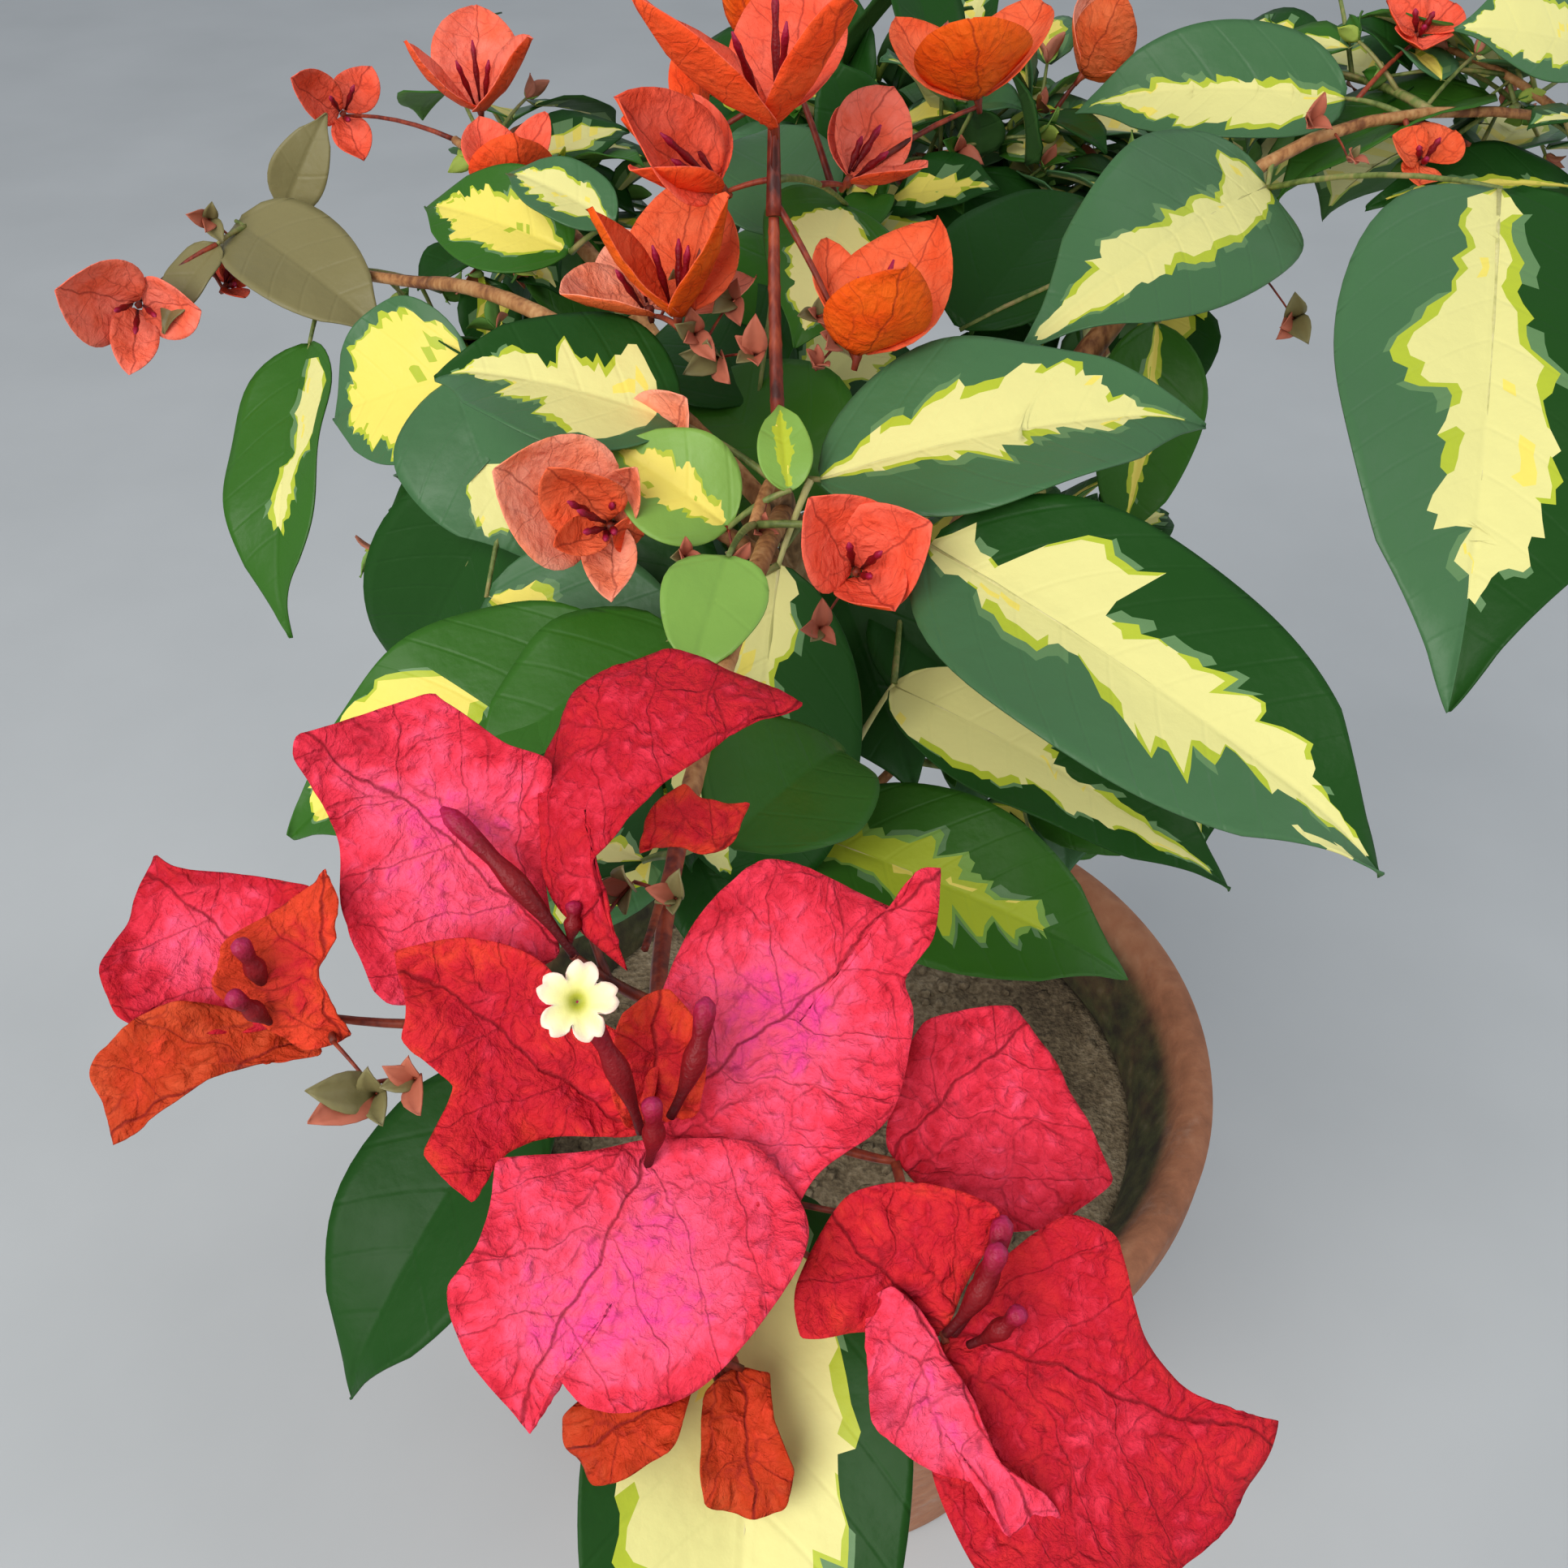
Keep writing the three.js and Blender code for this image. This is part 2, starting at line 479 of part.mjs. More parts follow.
// One mass: a stem, its shoots, and leaves and bracts that keep to the mass's space and clear of the rest
function makeMass(name, mass, limbsClear, others) {
  const clearOf = (solid) => [limbsClear, ...others].every((other) => solid.intersect(other).isEmpty());
  const twigs = [{ curve: stemCurve(mass) }];
  const pieces = [largestPiece(stemSolid(mass, 0).subtract(limbsClear))];
  const blades = [];

  function addTwig(from, to, radius) {
    const made = twig(from, to, radius);
    if (!clearOf(twig(from, to, radius + gap).solid)) {
      return false;
    }
    twigs.push(made);
    pieces.push(made.solid);
    return true;
  }

  function addShape(make, shape, apart) {
    const solid = make(shape);
    const touches = apart && blades.some((other) => !solid.intersect(other).isEmpty());
    if (clearOf(make(shape, gap)) && !touches) {
      blades.push(solid);
      pieces.push(solid);
    }
  }

  // A stalk to a point from the nearest twig that leaves it room and a clear way
  function reachFor(point, radius) {
    if (twigs.some(({ curve }) => curve.getPoint(1).distanceTo(point) < 3)) {
      return true;
    }
    const starts = twigs.flatMap(({ curve }) => [0.2, 0.4, 0.6, 0.8, 1].map((t) => curve.getPoint(t)));
    const near = starts.filter((start) => start.distanceTo(point) > leastStalk);
    near.sort((a, b) => a.distanceTo(point) - b.distanceTo(point));
    return near.some((start) => {
      const end = point.clone().addScaledVector(point.clone().sub(start).normalize(), root);
      return addTwig(start, end, radius);
    });
  }

  function addFloret(shape, apart) {
    const back = shape.face.clone().setLength(0.5 * calyx + root);
    if (reachFor(shape.at.clone().sub(back), twigSize.stalk)) {
      addShape(floret, shape, apart);
    }
  }

  const order = ['arm', 'leaf', 'bract', 'floret'];
  for (const kind of order) {
    for (const [is, ...item] of mass.named) {
      if (is !== kind) {
        continue;
      }
      if (kind === 'arm') {
        reachFor(vec(item[0]), item[1]);
      } else if (kind === 'floret') {
        addFloret({ at: vec(item[0]), face: vec(item[1]), size: item[2], spin: item[3] }, false);
      } else {
        const [base, tip, width, face, arch] = item;
        const outline = kind === 'leaf' ? outlines.namedLeaf : outlines.namedBract;
        if (reachFor(vec(base), twigSize.stalk)) {
          addShape(blade, { base: vec(base), tip: vec(tip), width, face: vec(face), outline, arch }, false);
        }
      }
    }
  }
  for (const shoot of growShoots(mass)) {
    if (!addTwig(shoot.start, shoot.end, twigSize.shoot)) {
      continue;
    }
    for (const leaf of shoot.leaves) {
      if (inSpace(mass, leaf.tip)) {
        addShape(blade, leaf, true);
      }
    }
    if (shoot.blooms) {
      const at = shoot.end.clone().addScaledVector(shoot.aim, rule.bloomAhead);
      at.z += rule.bloomLift;
      const face = shoot.aim.clone().add(new THREE.Vector3(0, 0, 0.5));
      addFloret({ at, face, size: rule.bloomSize, spin: shoot.spin }, true);
    }
  }
  const kept = largestPiece(wasm.Manifold.union(pieces));
  addNode(name, geometryOf(kept), 'foliage');
  return kept;
}

makePot();
makeSoil();
const limbsClear = makeBoughs(makeTrunk());
const around = Object.fromEntries(Object.entries(masses).map(([name, mass]) => [name, stemSolid(mass, gap)]));
for (const [name, mass] of Object.entries(masses)) {
  const others = Object.keys(masses).filter((other) => other !== name).map((other) => around[other]);
  around[name] = makeMass(name, mass, limbsClear, others);
}

export default group;
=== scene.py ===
# A potted bougainvillea bush with variegated leaves and coral papery bracts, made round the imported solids.
# Sizes and places are in millimetres, and each mesh is scaled to metres as it is made.
import math
import bmesh
import bpy
import numpy as np
from mathutils import Matrix, Vector, noise


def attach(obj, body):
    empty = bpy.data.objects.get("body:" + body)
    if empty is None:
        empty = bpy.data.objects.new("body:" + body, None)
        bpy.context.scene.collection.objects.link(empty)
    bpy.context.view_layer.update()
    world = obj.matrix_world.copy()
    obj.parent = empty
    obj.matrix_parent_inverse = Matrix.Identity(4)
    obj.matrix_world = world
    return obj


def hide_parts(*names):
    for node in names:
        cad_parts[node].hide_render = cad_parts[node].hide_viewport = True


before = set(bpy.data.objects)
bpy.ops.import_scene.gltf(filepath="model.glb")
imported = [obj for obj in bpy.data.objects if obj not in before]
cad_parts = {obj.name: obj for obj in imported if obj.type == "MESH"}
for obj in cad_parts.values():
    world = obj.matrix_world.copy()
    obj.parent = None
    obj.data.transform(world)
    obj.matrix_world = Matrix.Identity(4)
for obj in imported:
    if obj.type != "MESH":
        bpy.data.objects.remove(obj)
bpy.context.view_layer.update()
metre = 0.001  # a millimetre in metres
gap = 0.3  # between a piece and the solid that it leaves or lies in
stream = {"modulus": 2 ** 32, "spread": 2654435761, "multiplier": 1664525, "increment": 1013904223}


# Small helpers
def mix(a, b, t):
    return a + (b - a) * t


def unit(v):
    return v / np.linalg.norm(v)


# Random numbers that come out the same in every run
def seeded(seed):
    state = seed * stream["spread"] % stream["modulus"]

    def draw(low=0.0, high=1.0):
        nonlocal state
        state = (state * stream["multiplier"] + stream["increment"]) % stream["modulus"]
        return mix(low, high, state / stream["modulus"])
    return draw


def quadratic(start, bend, end):
    a, b, c = Vector(start), Vector(bend), Vector(end)
    return lambda t: a * (1 - t) ** 2 + b * (2 * t * (1 - t)) + c * t * t


def heading(curve, t, step=0.001):
    return (curve(min(1, t + step)) - curve(max(0, t - step))).normalized()


# Vertices and faces of a bmesh shape as arrays, to be repeated and reshaped
def template(bm):
    bm.verts.index_update()
    shape = {
        "at": np.array([v.co[:] for v in bm.verts]),
        "corners": np.array([v.index for f in bm.faces for v in f.verts]),
        "sizes": np.array([len(f.verts) for f in bm.faces]),
        "middle": np.array([f.calc_center_median()[:] for f in bm.faces]),
    }
    bm.free()
    return shape


def gridTemplate(rows, columns):
    bm = bmesh.new()
    bmesh.ops.create_grid(bm, x_segments=rows, y_segments=columns, size=0.5)
    shape, counts = template(bm), [[rows], [columns]]
    shape["row"], shape["column"] = np.rint((shape["at"][:, :2] + 0.5).T * counts).astype(int)
    shape["faceRow"], shape["faceColumn"] = np.floor((shape["middle"][:, :2] + 0.5).T * counts).astype(int)
    shape["rows"], shape["columns"] = rows, columns
    return shape


# A closed upright tube, one unit high and with a radius of one, cut into steps
def uprightTube(sides, steps):
    bm = bmesh.new()
    bmesh.ops.create_cone(bm, cap_ends=True, cap_tris=True, segments=sides, radius1=1, radius2=1, depth=1)
    upright = [e for e in bm.edges if abs(e.verts[0].co.z - e.verts[1].co.z) > 0.5]
    bmesh.ops.subdivide_edges(bm, edges=upright, cuts=steps - 1)
    return bm


def tubeTemplate(sides, steps):
    shape = template(uprightTube(sides, steps))
    x, y, z = shape["at"].T
    shape["ring"] = np.rint((z + 0.5) * steps).astype(int)
    shape["turn"], shape["out"], shape["steps"] = np.arctan2(y, x), np.rint(np.hypot(x, y)), steps
    return shape


# A square grid drawn onto a disc: the radius and angle of each vertex
def discTemplate(cells):
    shape = gridTemplate(cells, cells)
    x, y = 2 * shape["at"][:, :2].T
    radius = np.maximum(abs(x), abs(y))
    safe = np.where(radius > 0, radius, 1)
    sideways = (y / safe) * np.sign(x) * math.pi / 4 + np.where(x < 0, math.pi, 0)
    upwards = np.sign(y) * (math.pi / 2 - (x / safe) * math.pi / 4)
    shape["radius"] = radius
    shape["angle"] = np.where(abs(x) >= abs(y), sideways, upwards) % (2 * math.pi)
    return shape


# Many small shapes gathered into one mesh
class Heap:
    def __init__(self):
        self.points, self.corners, self.sizes, self.slots = [], [], [], []
        self.maps, self.tints, self.atlas = [], [], []
        self.count = 0

    def add(self, shape, points, slots=0, uv=None, tint=0.0, atlas=None):
        self.points.append(points)
        self.corners.append(shape["corners"] + self.count)
        self.sizes.append(shape["sizes"])
        self.slots.append(np.broadcast_to(slots, len(shape["sizes"])))
        self.maps.append(np.zeros((len(points), 2)) if uv is None else uv)
        self.tints.append(np.broadcast_to(tint, len(points)))
        if atlas is not None:
            self.atlas.append(atlas)
        self.count += len(points)

    def piece(self, name, materials, slot, replaces=(), **shell):
        points = np.concatenate(self.points) * metre
        corners, sizes = np.concatenate(self.corners), np.concatenate(self.sizes)
        mesh = bpy.data.meshes.new(name)
        mesh.vertices.add(len(points))
        mesh.vertices.foreach_set("co", points.astype(np.float32).ravel())
        mesh.loops.add(len(corners))
        mesh.loops.foreach_set("vertex_index", corners.astype(np.int32))
        mesh.polygons.add(len(sizes))
        mesh.polygons.foreach_set("loop_start", (np.cumsum(sizes) - sizes).astype(np.int32))
        mesh.polygons.foreach_set("material_index", np.concatenate(self.slots).astype(np.int32))
        mesh.polygons.foreach_set("use_smooth", np.ones(len(sizes), bool))
        surface = np.concatenate(self.maps)[corners]
        mesh.uv_layers.new(name="surface").data.foreach_set("uv", surface.astype(np.float32).ravel())
        if self.atlas:
            baked = np.concatenate(self.atlas)[corners]
            mesh.uv_layers.new(name="OFBake").data.foreach_set("uv", baked.astype(np.float32).ravel())
        tint = mesh.attributes.new("tint", "FLOAT", "POINT")
        tint.data.foreach_set("value", np.concatenate(self.tints).astype(np.float32))
        mesh.update(calc_edges=True)
        mesh.validate()
        return addPiece(name, mesh, materials, slot, replaces, **shell)


def addPiece(name, mesh, materials, slot, replaces=(), thickness=0.0, backOffset=0):
    piece = bpy.data.objects.new(name, mesh)
    bpy.context.scene.collection.objects.link(piece)
    for material in materials:
        mesh.materials.append(material)
    if thickness:
        shell = piece.modifiers.new("thickness", "SOLIDIFY")
        shell.thickness = thickness * metre
        shell.material_offset = backOffset
    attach(piece, "root")
    for node in replaces:
        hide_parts(node)
    return piece


def meshOf(bm, name):
    for face in bm.faces:
        face.smooth = True
    mesh = bpy.data.meshes.new(name)
    bm.to_mesh(mesh)
    bm.free()
    return mesh


# Materials
def newMaterial(name, roughness, color=None, gloss=None):
    material = bpy.data.materials.new(name)
    material.use_nodes = True
    shader = material.node_tree.nodes["Principled BSDF"]
    shader.inputs["Roughness"].default_value = roughness
    if color:
        shader.inputs["Base Color"].default_value = (*color, 1)
    if gloss is not None:
        shader.inputs["Specular IOR Level"].default_value = gloss
    return material, material.node_tree, shader


def add(tree, kind, inputs=None, **settings):
    node = tree.nodes.new(kind)
    for key, value in settings.items():
        setattr(node, key, value)
    for key, value in (inputs or {}).items():
        if isinstance(value, bpy.types.NodeSocket):
            tree.links.new(value, node.inputs[key])
        else:
            node.inputs[key].default_value = value
    return node


def calc(tree, operation, a, b=0.0, c=0.0):
    return add(tree, "ShaderNodeMath", {0: a, 1: b, 2: c}, operation=operation).outputs[0]


def times(tree, a, b):
    return calc(tree, "MULTIPLY", a, b)


# A base value, moved up and down by a pattern that goes from 0 to 1
def sway(tree, pattern, share, base, middle=0.5):
    return calc(tree, "MULTIPLY_ADD", calc(tree, "SUBTRACT", pattern, middle), share, base)


def paint(tree, shader, color):
    tree.links.new(color, shader.inputs["Base Color"])


def objectPlace(tree):
    return add(tree, "ShaderNodeTexCoord").outputs["Object"]


def surfacePlace(tree):
    return add(tree, "ShaderNodeUVMap", uv_map="surface").outputs[0]


def vertexTint(tree):
    return add(tree, "ShaderNodeAttribute", attribute_name="tint").outputs["Fac"]


def vector(tree, operation, inputs, output=0):
    return add(tree, "ShaderNodeVectorMath", inputs, operation=operation).outputs[output]


def fade(tree, value, low, high, atLow, atHigh):
    inputs = {0: value, 1: low, 2: high, 3: atLow, 4: atHigh}
    return add(tree, "ShaderNodeMapRange", inputs, interpolation_type="SMOOTHSTEP").outputs[0]


def cloud(tree, where, scale, detail=3.0, roughness=0.5):
    inputs = {"Vector": where, "Scale": scale, "Detail": detail, "Roughness": roughness}
    return add(tree, "ShaderNodeTexNoise", inputs).outputs["Fac"]


def cells(tree, where, scale):
    inputs = {"Vector": where, "Scale": scale}
    return add(tree, "ShaderNodeTexVoronoi", inputs, feature="DISTANCE_TO_EDGE").outputs[0]


def ramp(tree, value, stops):
    node = add(tree, "ShaderNodeValToRGB", {"Fac": value})
    points = node.color_ramp.elements
    while len(points) < len(stops):
        points.new(0.5)
    for point, (position, color) in zip(points, stops):
        point.position = position
        point.color = (*color, 1)
    return node.outputs["Color"]


def blend(tree, share, a, b):
    node = add(tree, "ShaderNodeMix", {"Factor": share}, data_type="RGBA")
    for socket, value in ((node.inputs[6], a), (node.inputs[7], b)):
        if isinstance(value, bpy.types.NodeSocket):
            tree.links.new(value, socket)
        else:
            socket.default_value = (*value, 1)
    return node.outputs[2]


def relief(tree, shader, height, depth):
    inputs = {"Height": height, "Distance": depth * metre, "Strength": 1.0}
    bump = add(tree, "ShaderNodeBump", inputs)
    tree.links.new(bump.outputs[0], shader.inputs["Normal"])


veinForm = {"slope": 0.6, "curve": 1.6, "before": 10, "ribWidth": 1.4}


# Side veins that leave the midrib on both sides, and the midrib itself: 1 on the line, 0 beside it
def veins(tree, where, spacing, width):
    split = add(tree, "ShaderNodeSeparateXYZ", {0: where})
    aside = calc(tree, "ABSOLUTE", split.outputs[1])
    bow = times(tree, aside, calc(tree, "MULTIPLY_ADD", aside, veinForm["curve"], veinForm["slope"]))
    along = calc(tree, "SUBTRACT", split.outputs[0], bow)
    sweep = calc(tree, "PINGPONG", calc(tree, "ADD", along, veinForm["before"] * spacing), spacing / 2)
    ribWidth = veinForm["ribWidth"] * width
    return fade(tree, sweep, 0.0, width, 1.0, 0.0), fade(tree, aside, 0.0, ribWidth, 1.0, 0.0)


# Colours of the upper and the lower side of a leaf, its roughness and its gloss
leafColors = {
    # The first green is the leaves' dark green made darker still: painted shade for depth in the crown
    "deepGreen": ((0.011, 0.056, 0.007), (0.040, 0.110, 0.025), 0.42, 0.12),
    # The next green is lighter and bluer than the leaves' own green: a painted sheen from the sky
    "blueGreen": ((0.050, 0.135, 0.050), (0.070, 0.165, 0.055), 0.42, 0.26),
    "freshGreen": ((0.030, 0.115, 0.010), (0.080, 0.190, 0.035), 0.40, 0.18),
    "youngGreen": ((0.190, 0.345, 0.060), (0.210, 0.360, 0.080), 0.38, 0.24),
    "limeEdge": ((0.400, 0.470, 0.030), (0.340, 0.440, 0.080), 0.40, 0.2),
    "cream": ((0.700, 0.655, 0.250), (0.620, 0.590, 0.260), 0.46, 0.2),
    "yellow": ((0.780, 0.650, 0.120), (0.620, 0.560, 0.150), 0.44, 0.2),
    "oliveBrown": ((0.185, 0.160, 0.065), (0.270, 0.200, 0.110), 0.42, 0.24),
    "budRose": ((0.420, 0.120, 0.070), (0.460, 0.170, 0.110), 0.50, 0.2),
    "sageGreen": ((0.105, 0.210, 0.080), (0.150, 0.260, 0.100), 0.42, 0.24),
}
leafSlot = {name: index for index, name in enumerate(leafColors)}


def leafMaterial(name, color, roughness, gloss):
    material, tree, shader = newMaterial(name, roughness, color, gloss)
    place = objectPlace(tree)
    line, rib = veins(tree, surfacePlace(tree), spacing=0.105, width=0.009)
    broad, fine = cloud(tree, place, scale=90.0), cloud(tree, place, scale=900.0, detail=2.0)
    height = calc(tree, "MULTIPLY_ADD", broad, 1.6, times(tree, fine, 0.12))
    for groove, depth in ((line, 0.16), (rib, 0.3)):
        height = calc(tree, "SUBTRACT", height, times(tree, groove, depth))
    relief(tree, shader, height, 0.45)
    uneven = fade(tree, broad, 0.25, 0.75, roughness - 0.07, roughness + 0.12)
    tree.links.new(uneven, shader.inputs["Roughness"])
    return material


leafMaterials = [leafMaterial("leaf_" + name, look[0], *look[2:]) for name, look in leafColors.items()]
leafMaterials += [leafMaterial("under_" + name, look[1], 0.6, 0.15) for name, look in leafColors.items()]
veinRed = (0.15, 0.004, 0.008)


# The papery surface that all bracts share: crinkles, thin side veins and a faint net between them
def paperyNet(tree, shader, depth):
    where = surfacePlace(tree)
    wander = add(tree, "ShaderNodeTexNoise", {"Vector": where, "Scale": 11.0, "Detail": 4.0}).outputs["Color"]
    shift = vector(tree, "SUBTRACT", {0: wander, 1: (0.5, 0.5, 0.5)})
    bent = vector(tree, "ADD", {0: where, 1: vector(tree, "SCALE", {0: shift, "Scale": 0.06})})
    line, rib = veins(tree, bent, spacing=0.11, width=0.003)
    uneven = fade(tree, cloud(tree, where, scale=14.0), 0.35, 0.65, 0.25, 1.0)
    drawn = calc(tree, "MAXIMUM", times(tree, rib, 0.72), times(tree, line, 0.42))
    for scale, width, share in ((11.0, 0.034, 0.48), (27.0, 0.045, 0.22)):  # a wide net and a fine one
        net = times(tree, fade(tree, cells(tree, bent, scale), 0.0, width, 1.0, 0.0), uneven)
        drawn = calc(tree, "MAXIMUM", drawn, times(tree, net, share))
    pillow = fade(tree, cells(tree, bent, 34.0), 0.0, 0.5, 0.0, 1.0)
    rough = cloud(tree, bent, scale=46.0, detail=5.0, roughness=0.65)
    crinkle = calc(tree, "MULTIPLY_ADD", rough, 1.3, times(tree, pillow, 0.55))
    relief(tree, shader, calc(tree, "SUBTRACT", crinkle, times(tree, drawn, 0.35)), depth)
    return where, drawn, crinkle


# The large bracts run from pink in the middle through red to orange, by the tint of each vertex
def heroBractMaterial():
    material, tree, shader = newMaterial("papery_bract", 0.6, gloss=0.1)
    where, drawn, crinkle = paperyNet(tree, shader, 0.9)
    patch = cloud(tree, where, scale=9.0, detail=6.0, roughness=0.65)
    # The colour moves with the crinkles' height, pinker on their tops and redder in their hollows: painted
    # highlight and painted shade on the crinkles
    fold = sway(tree, crinkle, -0.16, vertexTint(tree), middle=0.9)
    color = ramp(tree, sway(tree, patch, 0.42, fold), [
        (0.0, (0.88, 0.060, 0.270)), (0.13, (0.93, 0.090, 0.180)), (0.27, (0.80, 0.038, 0.075)),
        (0.40, (0.50, 0.010, 0.024)), (0.50, (0.62, 0.020, 0.026)), (0.62, (0.74, 0.055, 0.022)),
        (0.80, (0.46, 0.036, 0.008)), (1.0, (0.66, 0.090, 0.030))])
    paint(tree, shader, blend(tree, drawn, color, veinRed))
    return material


# Colours of the inner and the outer side of a small bract
bractColors = {
    "vermilion": ((0.92, 0.150, 0.090), (0.90, 0.100, 0.024)),
    "orange": ((0.84, 0.150, 0.060), (0.80, 0.115, 0.008)),
    "coral": ((0.94, 0.220, 0.150), (0.86, 0.110, 0.035)),
    "salmon": ((0.94, 0.360, 0.240), (0.76, 0.150, 0.050)),
}
bractSlot = {name: index for index, name in enumerate(bractColors)}
warmShares = (0.93, 0.62, 0.45)  # of a bract's red, green and blue, in its warm patches


def bractMaterial(name, color):
    material, tree, shader = newMaterial(name, 0.62, gloss=0.1)
    where, drawn, _ = paperyNet(tree, shader, 0.5)
    patch = fade(tree, cloud(tree, where, scale=12.0, detail=4.0), 0.3, 0.7, 0.0, 1.0)
    warm = blend(tree, patch, color, tuple(share * part for share, part in zip(warmShares, color)))
    paint(tree, shader, blend(tree, times(tree, drawn, 0.75), warm, veinRed))
    return material


def tubeMaterial():
    material, tree, shader = newMaterial("flower_tube", 0.5, gloss=0.25)
    down = cloud(tree, objectPlace(tree), scale=1500.0, detail=2.0)
    paint(tree, shader, ramp(tree, sway(tree, down, 0.25, vertexTint(tree)), [
        (0.0, (0.060, 0.004, 0.006)), (0.3, (0.12, 0.003, 0.005)), (0.55, (0.19, 0.003, 0.006)),
        (0.75, (0.17, 0.002, 0.008)), (0.9, (0.30, 0.006, 0.035)), (1.0, (0.36, 0.014, 0.075))]))
    relief(tree, shader, down, 0.25)
    return material


def petalMaterial():
    material, tree, shader = newMaterial("open_flower", 0.5)
    paint(tree, shader, ramp(tree, vertexTint(tree), [
        (0.0, (0.16, 0.20, 0.01)), (0.20, (0.42, 0.42, 0.03)), (0.42, (0.78, 0.72, 0.24)),
        (0.8, (0.86, 0.78, 0.44)), (1.0, (0.90, 0.66, 0.54))]))
    relief(tree, shader, cloud(tree, objectPlace(tree), scale=900.0), 0.12)
    return material


# The dark, middle and light colour of each bark, its roughness and the depth of its grain
barks = {
    "cane_bark": ((0.16, 0.055, 0.018), (0.36, 0.16, 0.055), (0.50, 0.27, 0.11), 0.62, 0.3),
    "red_bark": ((0.05, 0.008, 0.005), (0.17, 0.022, 0.010), (0.32, 0.055, 0.02), 0.5, 0.2),
    "green_bark": ((0.07, 0.10, 0.02), (0.16, 0.20, 0.05), (0.30, 0.24, 0.09), 0.5, 0.2),
    "pale_stalk": ((0.42, 0.40, 0.13), (0.56, 0.52, 0.20), (0.66, 0.60, 0.28), 0.5, 0.15),
    "trunk_bark": ((0.09, 0.05, 0.025), (0.25, 0.14, 0.065), (0.40, 0.27, 0.15), 0.8, 0.7),
}


def barkMaterial(name, dark, middle, light, roughness, depth):
    material, tree, shader = newMaterial(name, roughness, gloss=0.3)
    place = objectPlace(tree)
    drawn = add(tree, "ShaderNodeMapping", {"Vector": place, "Scale": (1, 1, 0.25)}).outputs[0]
    grain = cloud(tree, drawn, scale=700.0, detail=5.0)
    share = sway(tree, grain, 0.7, cloud(tree, place, scale=80.0))
    paint(tree, shader, ramp(tree, share, [(0.3, dark), (0.5, middle), (0.72, light)]))
    relief(tree, shader, grain, depth)
    return material


*twigMaterials, trunkBark = [barkMaterial(name, *look) for name, look in barks.items()]
cane, red, green, pale = range(len(twigMaterials))
print("materials made")

# Pot: a clay pot thrown on a wheel, with a rolled band at its rim
pot = {"height": 215, "rimRadius": 125, "baseRadius": 84, "wall": 12, "floor": 14, "lip": 6, "footBevel": 3,
       "footRound": (0.8, 0.9), "bandHeight": 40, "bandStep": 5, "bandTop": 2.4, "groove": 5,
       "grooveCut": 1.2, "innerBend": 22, "soilDrop": 34, "turns": 160, "ringStep": 8,
       "innerRings": (180, 160, 120, 80, 40), "underRing": 40, "floorRing": 30, "innerDarkEdge": 3,
       "innerDarkTop": (203, 212)}
# The wheel's faint rings and a wall that isn't quite true, in metres, above the foot and away from the axis
wheel = {"ring": 0.00022, "ringsPerMetre": 900, "stray": 2, "straysPerMetre": 20, "untrue": 0.0007,
         "wavesPerMetre": 14, "radius": 0.06, "foot": 0.004}
soilTop = pot["height"] - pot["soilDrop"]


def potRadiusAt(z):
    return mix(pot["baseRadius"], pot["rimRadius"] - pot["bandStep"], z / pot["height"])


# Dusty clay with lime, and a near-black inner wall below the rim
def clayMaterial():
    material, tree, shader = newMaterial("terracotta", 0.88)
    place = objectPlace(tree)
    x, y, z = add(tree, "ShaderNodeSeparateXYZ", {0: place}).outputs
    speck = cloud(tree, place, scale=160.0, detail=4.0)
    lime = cloud(tree, place, scale=22.0, detail=8.0, roughness=0.7)
    share = sway(tree, speck, 0.35, cloud(tree, place, scale=9.0, detail=6.0, roughness=0.62))
    clay = ramp(tree, share, [(0.30, (0.17, 0.062, 0.028)), (0.48, (0.30, 0.112, 0.052)),
                              (0.62, (0.37, 0.160, 0.082)), (0.78, (0.42, 0.25, 0.165))])
    clay = blend(tree, fade(tree, lime, 0.52, 0.72, 0.0, 0.5), clay, (0.45, 0.36, 0.30))
    level = add(tree, "ShaderNodeCombineXYZ", {0: x, 1: y}).outputs[0]
    slope = potRadiusAt(1) - potRadiusAt(0)
    wallMiddle = calc(tree, "MULTIPLY_ADD", z, slope, (pot["baseRadius"] - pot["wall"] / 2) * metre)
    depthIn = calc(tree, "SUBTRACT", vector(tree, "LENGTH", {0: level}, "Value"), wallMiddle)
    inside = fade(tree, depthIn, -pot["innerDarkEdge"] * metre, pot["innerDarkEdge"] * metre, 1.0, 0.0)
    low = fade(tree, z, pot["innerDarkTop"][0] * metre, pot["innerDarkTop"][1] * metre, 1.0, 0.0)
    # The inner wall below the rim turns near-black, in speckled tones
    innerWallDark = times(tree, times(tree, inside, low), fade(tree, lime, 0.2, 0.6, 0.75, 1.0))
    innerWallTone = ramp(tree, speck, [(0.35, (0.012, 0.009, 0.002)), (0.6, (0.035, 0.036, 0.008)),
                              (0.75, (0.07, 0.06, 0.03))])
    paint(tree, shader, blend(tree, innerWallDark, clay, innerWallTone))
    relief(tree, shader, calc(tree, "MULTIPLY_ADD", share, 2.0, speck), 0.6)
    return material


